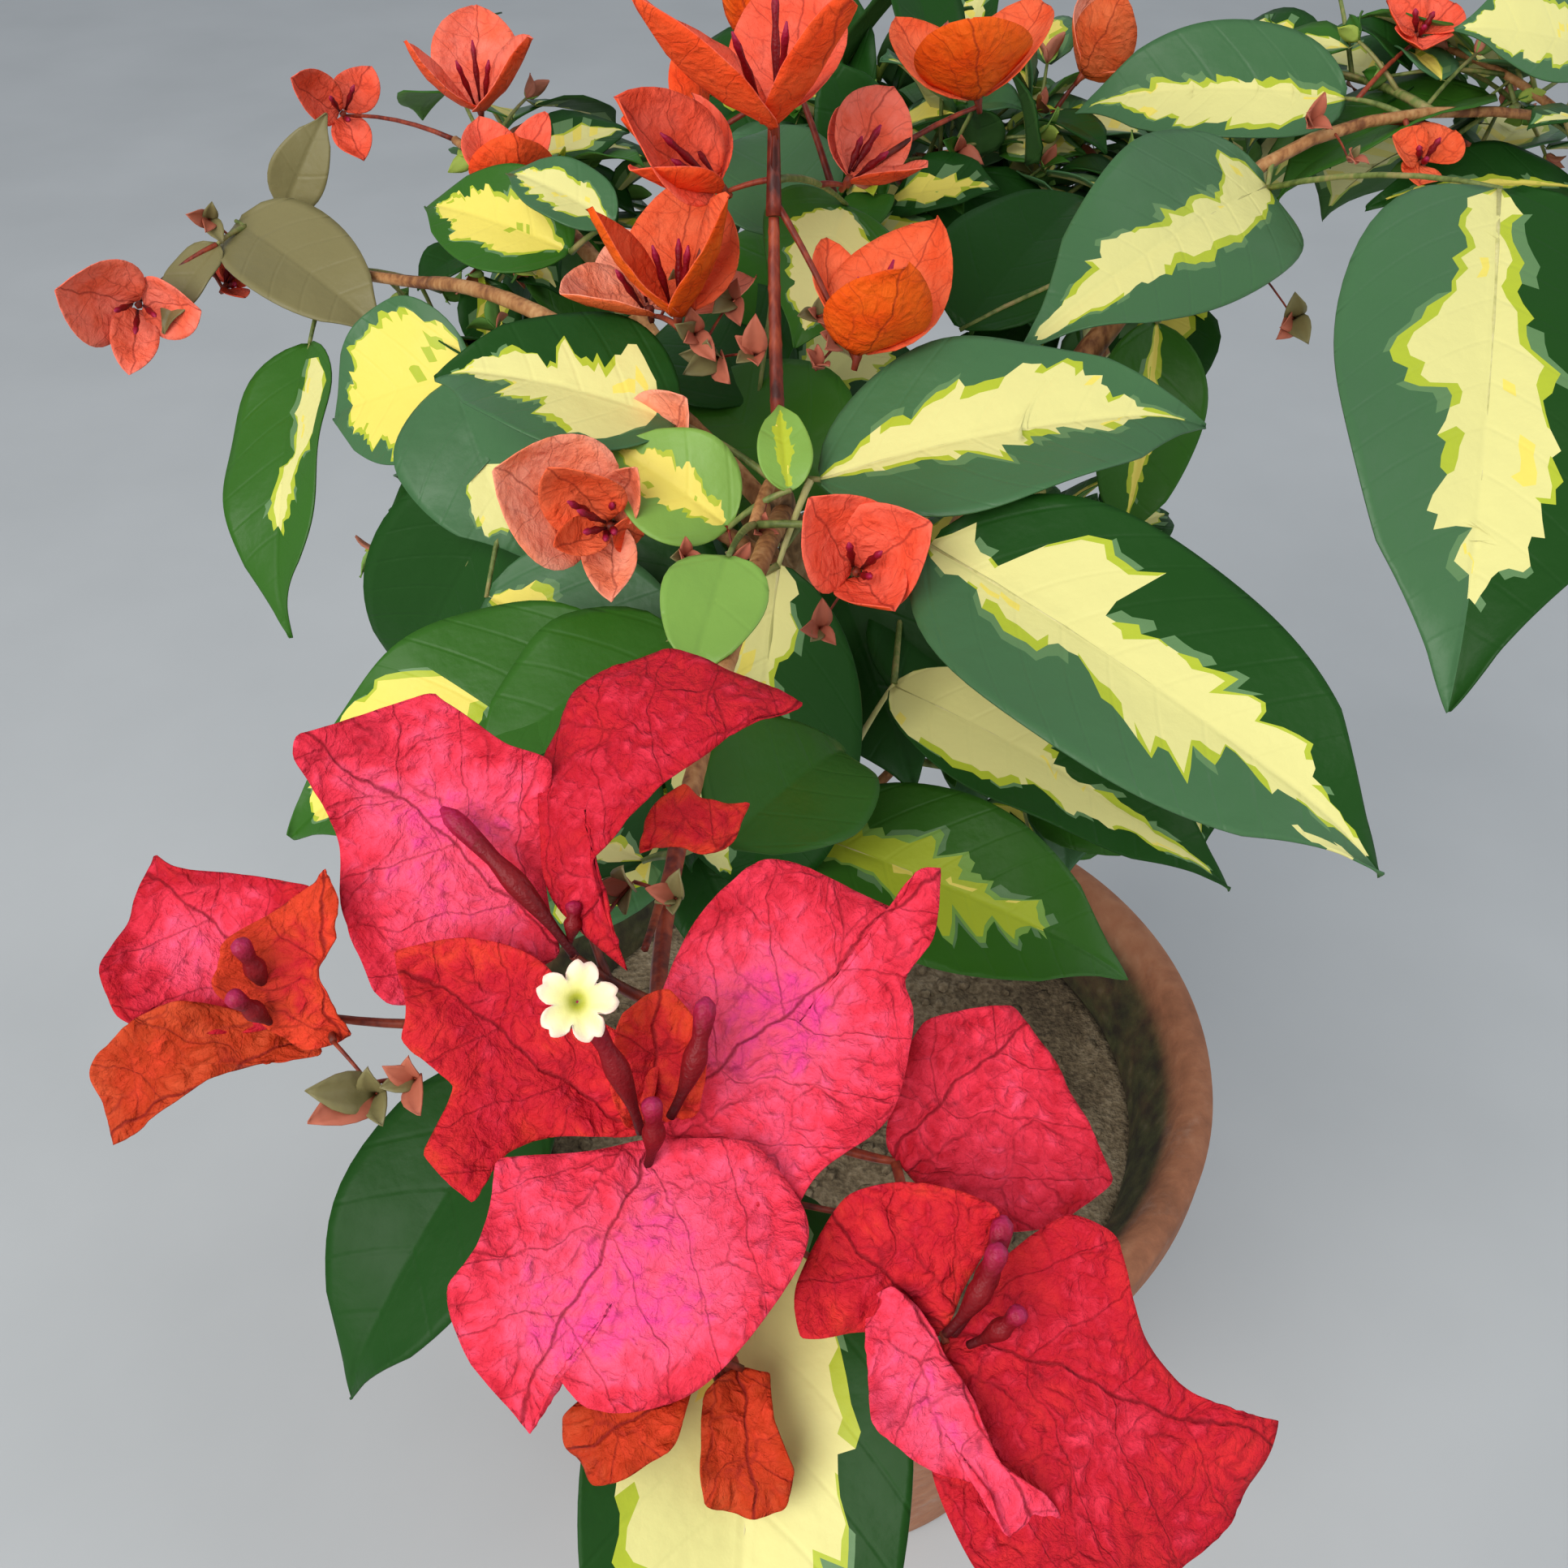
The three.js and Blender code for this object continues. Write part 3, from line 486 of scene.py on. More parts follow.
# The section of the wall, from the middle of the underside round the rim to the middle of the floor
def potProfile():
    height, rim, lip, groove = pot["height"], pot["rimRadius"], pot["lip"], pot["groove"]
    base, bandFoot, bend = pot["baseRadius"], height - pot["bandHeight"], height - pot["innerBend"]
    outerBand, bandTop = potRadiusAt(bandFoot) + pot["bandStep"], height - pot["bandTop"] * lip
    inner = lambda z: potRadiusAt(z) - pot["wall"]
    profile = [(0, 0), (pot["underRing"], 0), (base - pot["footBevel"], 0)]
    profile.append((base - pot["footRound"][0], pot["footRound"][1]))
    profile += [(potRadiusAt(z), z) for z in range(pot["footBevel"], bandFoot - groove, pot["ringStep"])]
    for share in np.linspace(0, 1, 9):  # the groove under the band, and the band's rounded foot
        out = mix(potRadiusAt(bandFoot), outerBand, (1 - math.cos(math.pi * share)) / 2)
        cut = pot["grooveCut"] * math.sin(math.pi * share) ** 2 * (1 - share)
        profile.append((out - cut, bandFoot + groove * (2 * share - 1)))
    profile += [(mix(outerBand, rim, t), mix(bandFoot + groove, bandTop, t)) for t in (0.3, 0.6, 1)]
    for turn in np.linspace(0, math.pi, 15):  # the rounded lip
        profile.append((rim - lip + lip * math.cos(turn), height - lip + lip * math.sin(turn)))
    profile += [(mix(rim - 2 * lip, inner(bend), t), mix(height - lip, bend, t)) for t in (0.35, 0.7, 1)]
    profile += [(inner(z), z) for z in (*pot["innerRings"], pot["floor"])]
    return profile + [(pot["floorRing"], pot["floor"]), (0, pot["floor"])]


def makePot():
    bm = bmesh.new()
    verts = [bm.verts.new((r * metre, 0, z * metre)) for r, z in potProfile()]
    edges = [bm.edges.new(pair) for pair in zip(verts, verts[1:])]
    bmesh.ops.spin(bm, geom=verts + edges, axis=(0, 0, 1), cent=(0, 0, 0), angle=2 * math.pi,
                   steps=pot["turns"], use_merge=True)
    bmesh.ops.remove_doubles(bm, verts=bm.verts, dist=1e-5)
    bmesh.ops.recalc_face_normals(bm, faces=bm.faces)
    for v in bm.verts:
        out = Vector((v.co.x, v.co.y, 0))
        if out.length > wheel["radius"] and v.co.z > wheel["foot"]:
            stray = wheel["stray"] * noise.noise(v.co * wheel["straysPerMetre"])
            ring = wheel["ring"] * math.sin(v.co.z * wheel["ringsPerMetre"] + stray)
            v.co += out.normalized() * (ring + wheel["untrue"] * noise.noise(v.co * wheel["wavesPerMetre"]))
    addPiece("clay_pot", meshOf(bm, "clay_pot"), [clayMaterial()], "terracotta", ["pot"])


# Soil: a lumpy bed with loose crumbs, raised round the stem. Its layers have a height and a width
soilBed = {"cells": 90, "sink": 2.2, "lumps": (2.6, 22), "clods": (1.5, 7), "grains": (0.9, 2.8),
           "mound": (3.5, 500), "edgeDrop": 0.6, "edgePower": 8, "thickness": 14,
           "crumbs": 560, "crumbSize": (0.6, 3.0), "crumbRise": 0.3}


def soilMaterial():
    material, tree, shader = newMaterial("sandy_soil", 0.95)
    place = objectPlace(tree)
    broad = cloud(tree, place, scale=24.0, detail=6.0, roughness=0.65)
    grain = cloud(tree, place, scale=520.0, detail=5.0)
    paint(tree, shader, ramp(tree, sway(tree, grain, 0.6, broad), [
        (0.28, (0.055, 0.036, 0.018)), (0.45, (0.13, 0.092, 0.050)),
        (0.60, (0.22, 0.165, 0.10)), (0.80, (0.34, 0.28, 0.19))]))
    relief(tree, shader, calc(tree, "ADD", grain, broad), 1.6)
    return material


def soilLayer(name, x, y, level):
    height, width = soilBed[name]
    return height * noise.noise((x / width, y / width, level))


def soilHeight(x, y):
    lumps = soilLayer("lumps", x, y, 0) + soilLayer("clods", x, y, 3)
    rise, spread = soilBed["mound"]
    return soilTop - soilBed["sink"] + lumps + rise * math.exp(-(x * x + y * y) / spread)


def makeSoil():
    soil = soilMaterial()
    disc = discTemplate(soilBed["cells"])
    edge = potRadiusAt(soilTop) - pot["wall"] - gap
    x, y = edge * disc["radius"] * np.cos(disc["angle"]), edge * disc["radius"] * np.sin(disc["angle"])
    z = np.array([soilHeight(a, b) + soilLayer("grains", a, b, 7) for a, b in zip(x, y)])
    z = mix(z, soilTop - soilBed["edgeDrop"], disc["radius"] ** soilBed["edgePower"])
    bed = Heap()
    bed.add(disc, np.stack([x, y, z], 1))
    bed.piece("soil_bed", [soil], "soil", ["soil"], thickness=soilBed["thickness"])

    bm = bmesh.new()
    bmesh.ops.create_cube(bm, size=1)
    bmesh.ops.subdivide_edges(bm, edges=bm.edges, cuts=1, use_grid_fill=True)
    crumb = template(bm)
    ball = crumb["at"] / np.linalg.norm(crumb["at"], axis=1, keepdims=True)
    crumbs, draw = Heap(), seeded(811)
    for _ in range(soilBed["crumbs"]):
        turn, out = draw(0, 2 * math.pi), edge * math.sqrt(draw(0.01, 0.93))
        size = mix(*soilBed["crumbSize"], draw() ** 3)
        lump = ball * size * [draw(0.7, 1.2), draw(0.7, 1.2), draw(0.5, 0.9)]
        lump = lump * (1 + 0.25 * np.sin(ball[:, [0]] * draw(3, 9) + ball[:, [1]] * draw(3, 9)))
        x, y = out * math.cos(turn), out * math.sin(turn)
        crumbs.add(crumb, lump + [x, y, soilHeight(x, y) + soilBed["crumbRise"] * size])
    crumbs.piece("soil_crumbs", [soil], "soil")


makePot()
makeSoil()
print("pot and soil made")

# Trunk and boughs, by the same sizes as the solids
trunkSize = {"from": (0, 0, soilTop + gap), "bend": (0, 0, 345), "to": (-20, -52, 458),
             "foot": 8.5, "tip": 2.7, "flare": 7, "flareHeight": 0.09}
boughSizes = {
    "bough_flower": {"at": 0.99, "bend": (-21, -44, 484), "to": (-21, -31, 507), "foot": 1.6, "tip": 1.1},
    "bough_front": {"at": 0.97, "bend": (-26, -104, 472), "to": (-35, -148, 456), "foot": 2.2, "tip": 1.6},
    "bough_left": {"at": 0.93, "bend": (-62, -8, 482), "to": (-108, 42, 461), "foot": 2.3, "tip": 1.7},
    "bough_left_low": {"at": 0.84, "bend": (-34, -24, 436), "to": (-58, -20, 434), "foot": 2.3, "tip": 1.7},
    "bough_right": {"at": 0.6, "bend": (46, 14, 452), "to": (86, 37, 484), "foot": 4, "tip": 2.6},
    "bough_back": {"at": 0.52, "bend": (6, 52, 430), "to": (14, 92, 446), "foot": 3.6, "tip": 2.2},
    "bough_back_left": {"at": 0.7, "bend": (-42, 30, 452), "to": (-84, 82, 464), "foot": 3.2, "tip": 2},
    "bough_back_right": {"at": 0.56, "bend": (38, 40, 418), "to": (72, 84, 420), "foot": 3.4, "tip": 2.2},
}
trunkCurve = quadratic(trunkSize["from"], trunkSize["bend"], trunkSize["to"])
boughCurves = {name: quadratic(trunkCurve(s["at"]), s["bend"], s["to"]) for name, s in boughSizes.items()}


def trunkRadius(t, angle=0.0):
    flare = trunkSize["flare"] * math.exp(-t / trunkSize["flareHeight"])
    return mix(trunkSize["foot"], trunkSize["tip"], t ** 0.8) + flare * (1 + 0.3 * math.cos(3 * angle))


barkForm = {"ridge": (2.2, 11), "crack": 1.3, "crackShare": 0.5, "fullRadius": 4, "nodes": 10,
            "nodeWidth": 0.006, "nodeShare": 0.4}


# A limb is an upright tube bent onto its curve, with the bark's ridges and a low ring at each node
def makeLimb(name, curve, radiusAt, sides, steps, rough, bark):
    bm = uprightTube(sides, steps)
    side, frames = Vector((1, 0, 0)), []
    for step in range(steps + 1):
        ahead = heading(curve, step / steps)
        side = (side - ahead * side.dot(ahead)).normalized()
        frames.append((curve(step / steps), side, ahead.cross(side)))
    for v in bm.verts:
        t = v.co.z + 0.5
        angle, out = math.atan2(v.co.y, v.co.x), round(math.hypot(v.co.x, v.co.y))
        middle, side, over = frames[round(t * steps)]
        away = side * math.cos(angle) + over * math.sin(angle)
        r = radiusAt(t, angle)
        at = middle + away * r
        across, down = barkForm["ridge"]
        ridge = noise.noise((at.x / across, at.y / across, at.z / down))
        ridge += barkForm["crackShare"] * noise.noise(at / barkForm["crack"])
        ridge *= min(1, r / barkForm["fullRadius"])
        node = math.exp(-((barkForm["nodes"] * t) % 1 - 0.5) ** 2 / barkForm["nodeWidth"])
        v.co = (middle + away * out * (r + rough * (ridge + barkForm["nodeShare"] * node))) * metre
    addPiece("bark_" + name, meshOf(bm, name), [bark], "bark", [name])


makeLimb("trunk", trunkCurve, trunkRadius, sides=32, steps=160, rough=0.75, bark=trunkBark)
limbPoints = [(*trunkCurve(t), trunkRadius(t)) for t in np.linspace(0, 1, 80)]
for name, s in boughSizes.items():
    radiusAt = lambda t, angle=0.0, s=s: mix(s["foot"], s["tip"], t)
    bark = twigMaterials[red if name == "bough_flower" else cane]
    makeLimb(name, boughCurves[name], radiusAt, sides=14, steps=60, rough=0.25, bark=bark)
    limbPoints += [(*boughCurves[name](t), radiusAt(t)) for t in np.linspace(0, 1, 30)]
limbPoints = np.array(limbPoints)
print("trunk and boughs made")

# How shoots leave a stem, and leaves and blossom leave a shoot: the rule of the solids
goldenAngle = math.radians(137.5)
rule = {"stemShare": (0.35, 1), "turnStep": 0.618, "firstTurn": 0.3, "shootReach": (0.42, 0.66),
        "shootShare": (0.3, 0.97), "stray": 0.5, "ahead": (0.3, 0.9), "aside": 0.8, "droop": 0.3,
        "shrink": (1, 0.82), "width": 0.62, "faceStray": 0.35, "arch": (0.02, 0.1), "bloomAhead": 9,
        "bloomLift": 5, "bloomSize": 25, "stem": (1.7, 1.2), "stemBend": 0.4, "shoot": 1.3, "taper": 0.35,
        "lift": 0.1, "armLift": -0.1, "flowerLift": -0.05, "leastStalk": 6, "reached": 3, "into": 0.5,
        "leafStalk": 0.09}
# Radii of the stalks that carry what the photo shows by name, and a grown bloom
stalkRadii = {"leaf": 0.85, "bract": 0.8, "cup": 0.75, "floret": 0.85, "bud": 0.35, "bloom": 0.8}
# The room that a twig, a leaf's midrib and a finer twig leave beside a limb's surface
limbRoom = {"twig": 1.2, "leaf": 2.0, "finer": 1.0}
# The same rule carried on to finer twigs
finer = {"twigs": 6, "share": (0.2, 0.95), "firstTurn": 1.2, "ahead": 0.7, "aside": 0.8, "rise": 0.1,
         "reach": (14, 30), "radius": 0.7, "leaves": 3, "leaf": (26, 48), "leafStalk": 0.1, "sprigs": 3,
         "sprigLeaf": (5, 10), "apart": 0.15}
# The photo's camera, and the parts of its frame that lie open past the plant: left, top, right and bottom
view = {"place": (-19, -333, 628), "down": 42, "focal": 1900, "frame": 1932, "sensor": 36, "clear": 12}
openParts = [(-60, -60, 330, 300), (-60, 470, 255, 1040), (395, 590, 470, 900), (200, 780, 335, 1040),
             (-60, 1420, 440, 2000), (1480, 330, 1640, 1000), (1600, 880, 2000, 1100),
             (1500, 1100, 2000, 2000), (660, 0, 770, 110), (480, 150, 560, 320)]
# The front cluster's frame: no other leaf lies before its bracts
cluster = {"box": (120, 790, 1600, 2000), "depth": 330}
youngParts = (0, 100, 480, 470)
# Below this line of the frame the blossom is only what the photo shows
shownBlooms = (0, 120, 1932, 1932)

# Colour zones along a leaf, from base to tip: how far along, and the band's edges as shares of the half width
bands = {
    "plain": [],
    "feather": [(0, -.1, .1), (.12, -.35, .3), (.22, -.2, .5), (.35, -.45, .25), (.5, -.3, .4),
                (.62, -.35, .2), (.78, -.15, .2), (.92, -.03, .05)],
    "centre": [(.05, -.05, .1), (.2, -.4, .45), (.5, -.5, .5), (.75, -.35, .3), (.9, 0, .05)],
    "half": [(0, -.05, .1), (.15, -.05, .6), (.4, -.03, .7), (.6, -.05, .55), (.85, 0, .2), (.95, 0, .02)],
    "young": [(.05, -.1, .1), (.3, -.2, .3), (.6, -.3, .35), (.9, -.1, .1)],
    "rib": [(0, -.06, .07), (.5, -.09, .12), (.7, -.07, .08), (.92, -.02, .03)],
    "L1": [(0, -.28, .3), (.04, -.24, .42), (.08, -.16, .2), (.12, -.14, .12), (.16, -.13, .5),
           (.22, -.13, .66), (.27, -.15, .62), (.29, -.16, .3), (.36, -.2, .24), (.42, -.28, .24),
           (.46, -.55, .2), (.49, -.3, .2), (.52, -.5, .26), (.56, -.18, .36), (.64, -.14, .3),
           (.69, -.13, .44), (.74, -.12, .2), (.82, -.1, .26), (.9, -.06, .12), (.96, -.02, .03)],
    "L2": [(0, -.06, .1), (.15, -.06, .25), (.3, -.1, .4), (.38, -.3, .45), (.42, -.1, .62),
           (.52, -.06, .68), (.56, -.06, .5), (.66, -.06, .62), (.7, -.05, .3), (.85, -.03, .1),
           (.95, 0, .03)],
    "L3": [(0, -.08, .12), (.06, -.6, .2), (.11, -.62, .26), (.15, -.25, .3), (.24, -.08, .34),
           (.38, -.1, .3), (.5, -.24, .26), (.65, -.28, .3), (.8, -.3, .36), (.93, -.36, .45),
           (.97, -.02, .02)],
    "L4": [(0, -.12, .04), (.05, -.36, .05), (.1, -.4, .05), (.14, -.18, .08), (.2, -.28, .12),
           (.28, -.42, .16), (.39, -.42, .22), (.43, -.1, .26), (.5, -.14, .34), (.6, -.22, .42),
           (.665, -.3, .46), (.7, -.05, .42), (.74, -.04, .3), (.76, -.03, .1), (.81, -.02, .05),
           (.84, 0, .02)],
    "L5": [(.08, -.1, .3), (.15, -.5, .6), (.2, -.62, .62), (.26, -.3, .6), (.36, -.35, .55), (.4, -.5, .5),
           (.45, -.25, .3), (.55, -.38, .6), (.62, -.3, .15), (.75, -.3, .1), (.88, -.1, .05),
           (.92, -.02, .02)],
    "L6": [(.05, -.6, .7), (.3, -.75, .8), (.6, -.6, .6), (.75, -.2, .4), (.8, -.02, .02)],
    "L7": [(.5, -.3, .4), (.75, -.5, .6), (.85, -.02, .02)],
    "L11": [(.02, -.1, .1), (.12, -.12, .3), (.2, -.1, .2), (.3, -.1, .1), (.38, -.5, .3), (.5, -.45, .42),
            (.58, -.3, .2), (.62, -.05, .05)],
    "L12": [(.35, -.5, -.2), (.46, -.8, -.1), (.6, -.84, .2), (.74, -.7, .35), (.84, -.5, .3),
            (.9, -.02, .02)],
    "L8": [(.06, .3, .5), (.12, .3, .8), (.26, .28, .72), (.34, .35, .5), (.42, .1, .35), (.55, -.1, .2),
           (.66, 0, .1)],
    "L14": [(0, -.3, .25), (.08, -.55, .3), (.2, -.6, .05), (.3, -.65, -.05), (.5, -.8, -.25),
            (.65, -.9, -.5), (.75, -.62, -.6)],
    "L15": [(0, -.25, .3), (.08, -.3, .45), (.12, -.35, .2), (.2, -.25, .3), (.28, -.5, .3),
            (.33, -.2, .12), (.38, -.5, .3), (.44, -.15, .08), (.5, -.45, .2), (.56, -.12, .05),
            (.62, -.3, .25), (.68, -.05, .1), (.74, -.02, .02)],
    "L19": [(0, -.3, .3), (.1, -.5, .4), (.3, -.6, .5), (.5, -.65, .6), (.8, -.5, .5), (.95, -.2, .2)],
    "L21": [(0, -.9, .9), (.1, -.8, .8), (.25, -.7, .5), (.35, -.5, .3), (.5, -.45, -.05), (.7, -.4, -.1),
            (.85, -.3, -.05), (.95, -.05, 0)],
}

plainBands = ("plain", "young")
paleStalks = ("L14", "L21")
patches = {"L1": [(.72, .85, -.95, -.65)]}  # spots off the band: from and to along the leaf, and across it

# Outlines of the large bracts in millimetres: along from the base, and aside. The first point is a middle
outlines = {
    "a": [(24, 0), (2, 1), (11, -6), (20, -18), (27, -16), (36, -15), (39, -14), (46, -2), (48, 1), (46, 4),
          (37, 8), (28, 16), (18, 21), (13, 20), (4, 7)],
    "b": [(16, 11), (3, -9), (3, 5), (9, 13), (18, 21), (29, 24), (41, 19), (46, 8), (48, -1), (34, 2),
          (21, 4), (11, 4), (7, -1)],
    "c": [(18, 1), (-1, 0), (7, 6), (12, 12), (12, 19), (21, 18), (23, 9), (32, 8), (34, 4), (40, -1),
          (33, -8), (24, -11), (14, -9), (3, -10)],
    "d": [(19, -3), (-1, 0), (9, 11), (20, 17), (31, 18), (36, 16), (41, 7), (44, 0), (49, 2), (52, 0),
          (45, -6), (38, -8), (35, -13), (24, -20), (12, -19), (5, -21), (0, -11)],
    "e": [(16, 5), (-2, 0), (3, -7), (9, -17), (19, -14), (26, -15), (32, -10), (37, 2), (29, 2), (31, 7),
          (28, 14), (21, 20), (5, 24), (-2, 22), (-7, 12)],
    "behind": [(22, 6), (13, 6), (18, 10), (24, 10), (27, 6), (31, 2), (26, -1), (21, 0), (18, 4)],
    "R1": [(14, -7), (3, -15), (1, -3), (3, 3), (17, 10), (28, 3), (28, -4), (24, -16), (21, -23),
           (13, -22), (7, -19)],
    "R2": [(18, -3), (0, -1), (5, 12), (10, 19), (17, 18), (23, 9), (32, 3), (45, 3), (44, -4), (41, -12),
           (34, -19), (22, -25), (12, -26), (3, -17), (1, -10)],
    "R3": [(9, -4), (0, 0), (-6, 0), (-9, -1), (-9, -5), (-6, -7), (2, -10), (11, -8), (18, -3), (23, -4),
           (26, -3), (25, 2), (20, 2), (15, 0), (9, 1), (4, 0)],
    "R4": [(11, -2), (0, 1), (7, 7), (13, 13), (18, 9), (21, -3), (16, -11), (8, -16), (5, -15), (2, -6)],
    "LA": [(20, 4), (4, 3), (12, -13), (23, -8), (30, -4), (35, -3), (33, 5), (29, 13), (21, 16), (10, 10)],
    "LB": [(9, 5), (0, -1), (-1, 1), (-1, 5), (3, 8), (7, 11), (15, 10), (21, 3), (24, -1), (19, -2),
           (15, -1), (9, 0), (1, -2)],
    "LC": [(21, -5), (1, 3), (9, -7), (16, -11), (27, -10), (31, -6), (33, 1), (23, 1), (14, 0), (2, 4)],
    "fill": [(11, 0), (0, -1), (5, -6), (14, -6), (20, -1), (17, 5), (8, 6), (1, 3)],
    "bot1": [(10, 0), (0, -1), (8, -6), (17, -4), (19, 0), (17, 5), (12, 6), (5, 5)],
    "bot2": [(9, 0), (0, -1), (3, -5), (16, -6), (19, -1), (18, 4), (13, 6), (6, 4), (1, 4)],
}

# Masses: the limb that carries each stem, its heart, its space and its shoots
masses = {
    "foliage_top": {
        "on": "bough_flower", "heart": (-21, -22, 524), "middle": (-14, -6, 512), "reach": (66, 60, 42),
        "shoots": 0, "leaves": 0, "florets": 0, "facing": 90, "span": 180, "rise": (0, 30),
        "leaf": (26, 34), "seed": 11},
    "foliage_front": {
        "on": "bough_front", "heart": (-37, -200, 456), "middle": (-30, -208, 446), "reach": (100, 92, 78),
        "shoots": 4, "leaves": 2, "florets": 2, "facing": 100, "span": 300, "rise": (-50, -20),
        "leaf": (34, 48), "seed": 23},
    "foliage_crown": {
        "on": "trunk", "at": 1, "heart": (-25, -72, 462), "middle": (-20, -84, 436), "reach": (114, 72, 62),
        "shoots": 6, "leaves": 4, "florets": 0, "facing": 280, "span": 200, "rise": (-50, -25),
        "leaf": (40, 54), "seed": 37},
    "foliage_low_front": {
        "on": "trunk", "at": 0.66, "heart": (-6, -60, 384), "middle": (16, -80, 372), "reach": (92, 76, 64),
        "shoots": 7, "leaves": 4, "florets": 0, "facing": 232, "span": 140, "rise": (-25, 15),
        "leaf": (48, 66), "seed": 5},
    "foliage_left": {
        "on": "bough_left_low", "heart": (-82, -12, 446), "middle": (-98, -4, 426), "reach": (74, 64, 72),
        "shoots": 7, "leaves": 4, "florets": 1, "facing": 180, "span": 220, "rise": (-45, 20),
        "leaf": (50, 66), "seed": 41},
    "foliage_far_left": {
        "on": "bough_left", "heart": (-150, 66, 456), "middle": (-160, 52, 442), "reach": (68, 72, 66),
        "shoots": 7, "leaves": 4, "florets": 2, "facing": 150, "span": 300, "rise": (-35, 30),
        "leaf": (46, 62), "seed": 53},
    "foliage_right": {
        "on": "bough_right", "heart": (176, 64, 494), "middle": (126, 18, 470), "reach": (98, 136, 66),
        "shoots": 10, "leaves": 4, "florets": 3, "facing": 20, "span": 320, "rise": (-40, 25),
        "leaf": (56, 78), "seed": 67},
    "foliage_back": {
        "on": "bough_back", "heart": (20, 132, 460), "middle": (20, 134, 452), "reach": (84, 80, 74),
        "shoots": 9, "leaves": 5, "florets": 4, "facing": 90, "span": 330, "rise": (-40, 45),
        "leaf": (56, 78), "seed": 71},
    "foliage_back_left": {
        "on": "bough_back_left", "heart": (-112, 112, 472), "middle": (-108, 116, 464),
        "reach": (76, 66, 66), "shoots": 8, "leaves": 4, "florets": 3, "facing": 120, "span": 320,
        "rise": (-45, 30), "leaf": (50, 70), "seed": 83},
    "foliage_back_right": {
        "on": "bough_back_right", "heart": (100, 116, 424), "middle": (102, 122, 424),
        "reach": (84, 80, 72), "shoots": 8, "leaves": 5, "florets": 3, "facing": 45, "span": 320,
        "rise": (-40, 40), "leaf": (54, 76), "seed": 97},
    "foliage_low_left": {
        "on": "trunk", "at": 0.5, "heart": (-44, 10, 364), "middle": (-62, 16, 366), "reach": (76, 74, 60),
        "shoots": 8, "leaves": 5, "florets": 0, "facing": 165, "span": 220, "rise": (-25, 25),
        "leaf": (54, 72), "seed": 103},
    "foliage_low_right": {
        "on": "trunk", "at": 0.46, "heart": (46, 22, 360), "middle": (66, 22, 364), "reach": (80, 78, 62),
        "shoots": 8, "leaves": 5, "florets": 0, "facing": 15, "span": 220, "rise": (-25, 25),
        "leaf": (54, 72), "seed": 109},
}

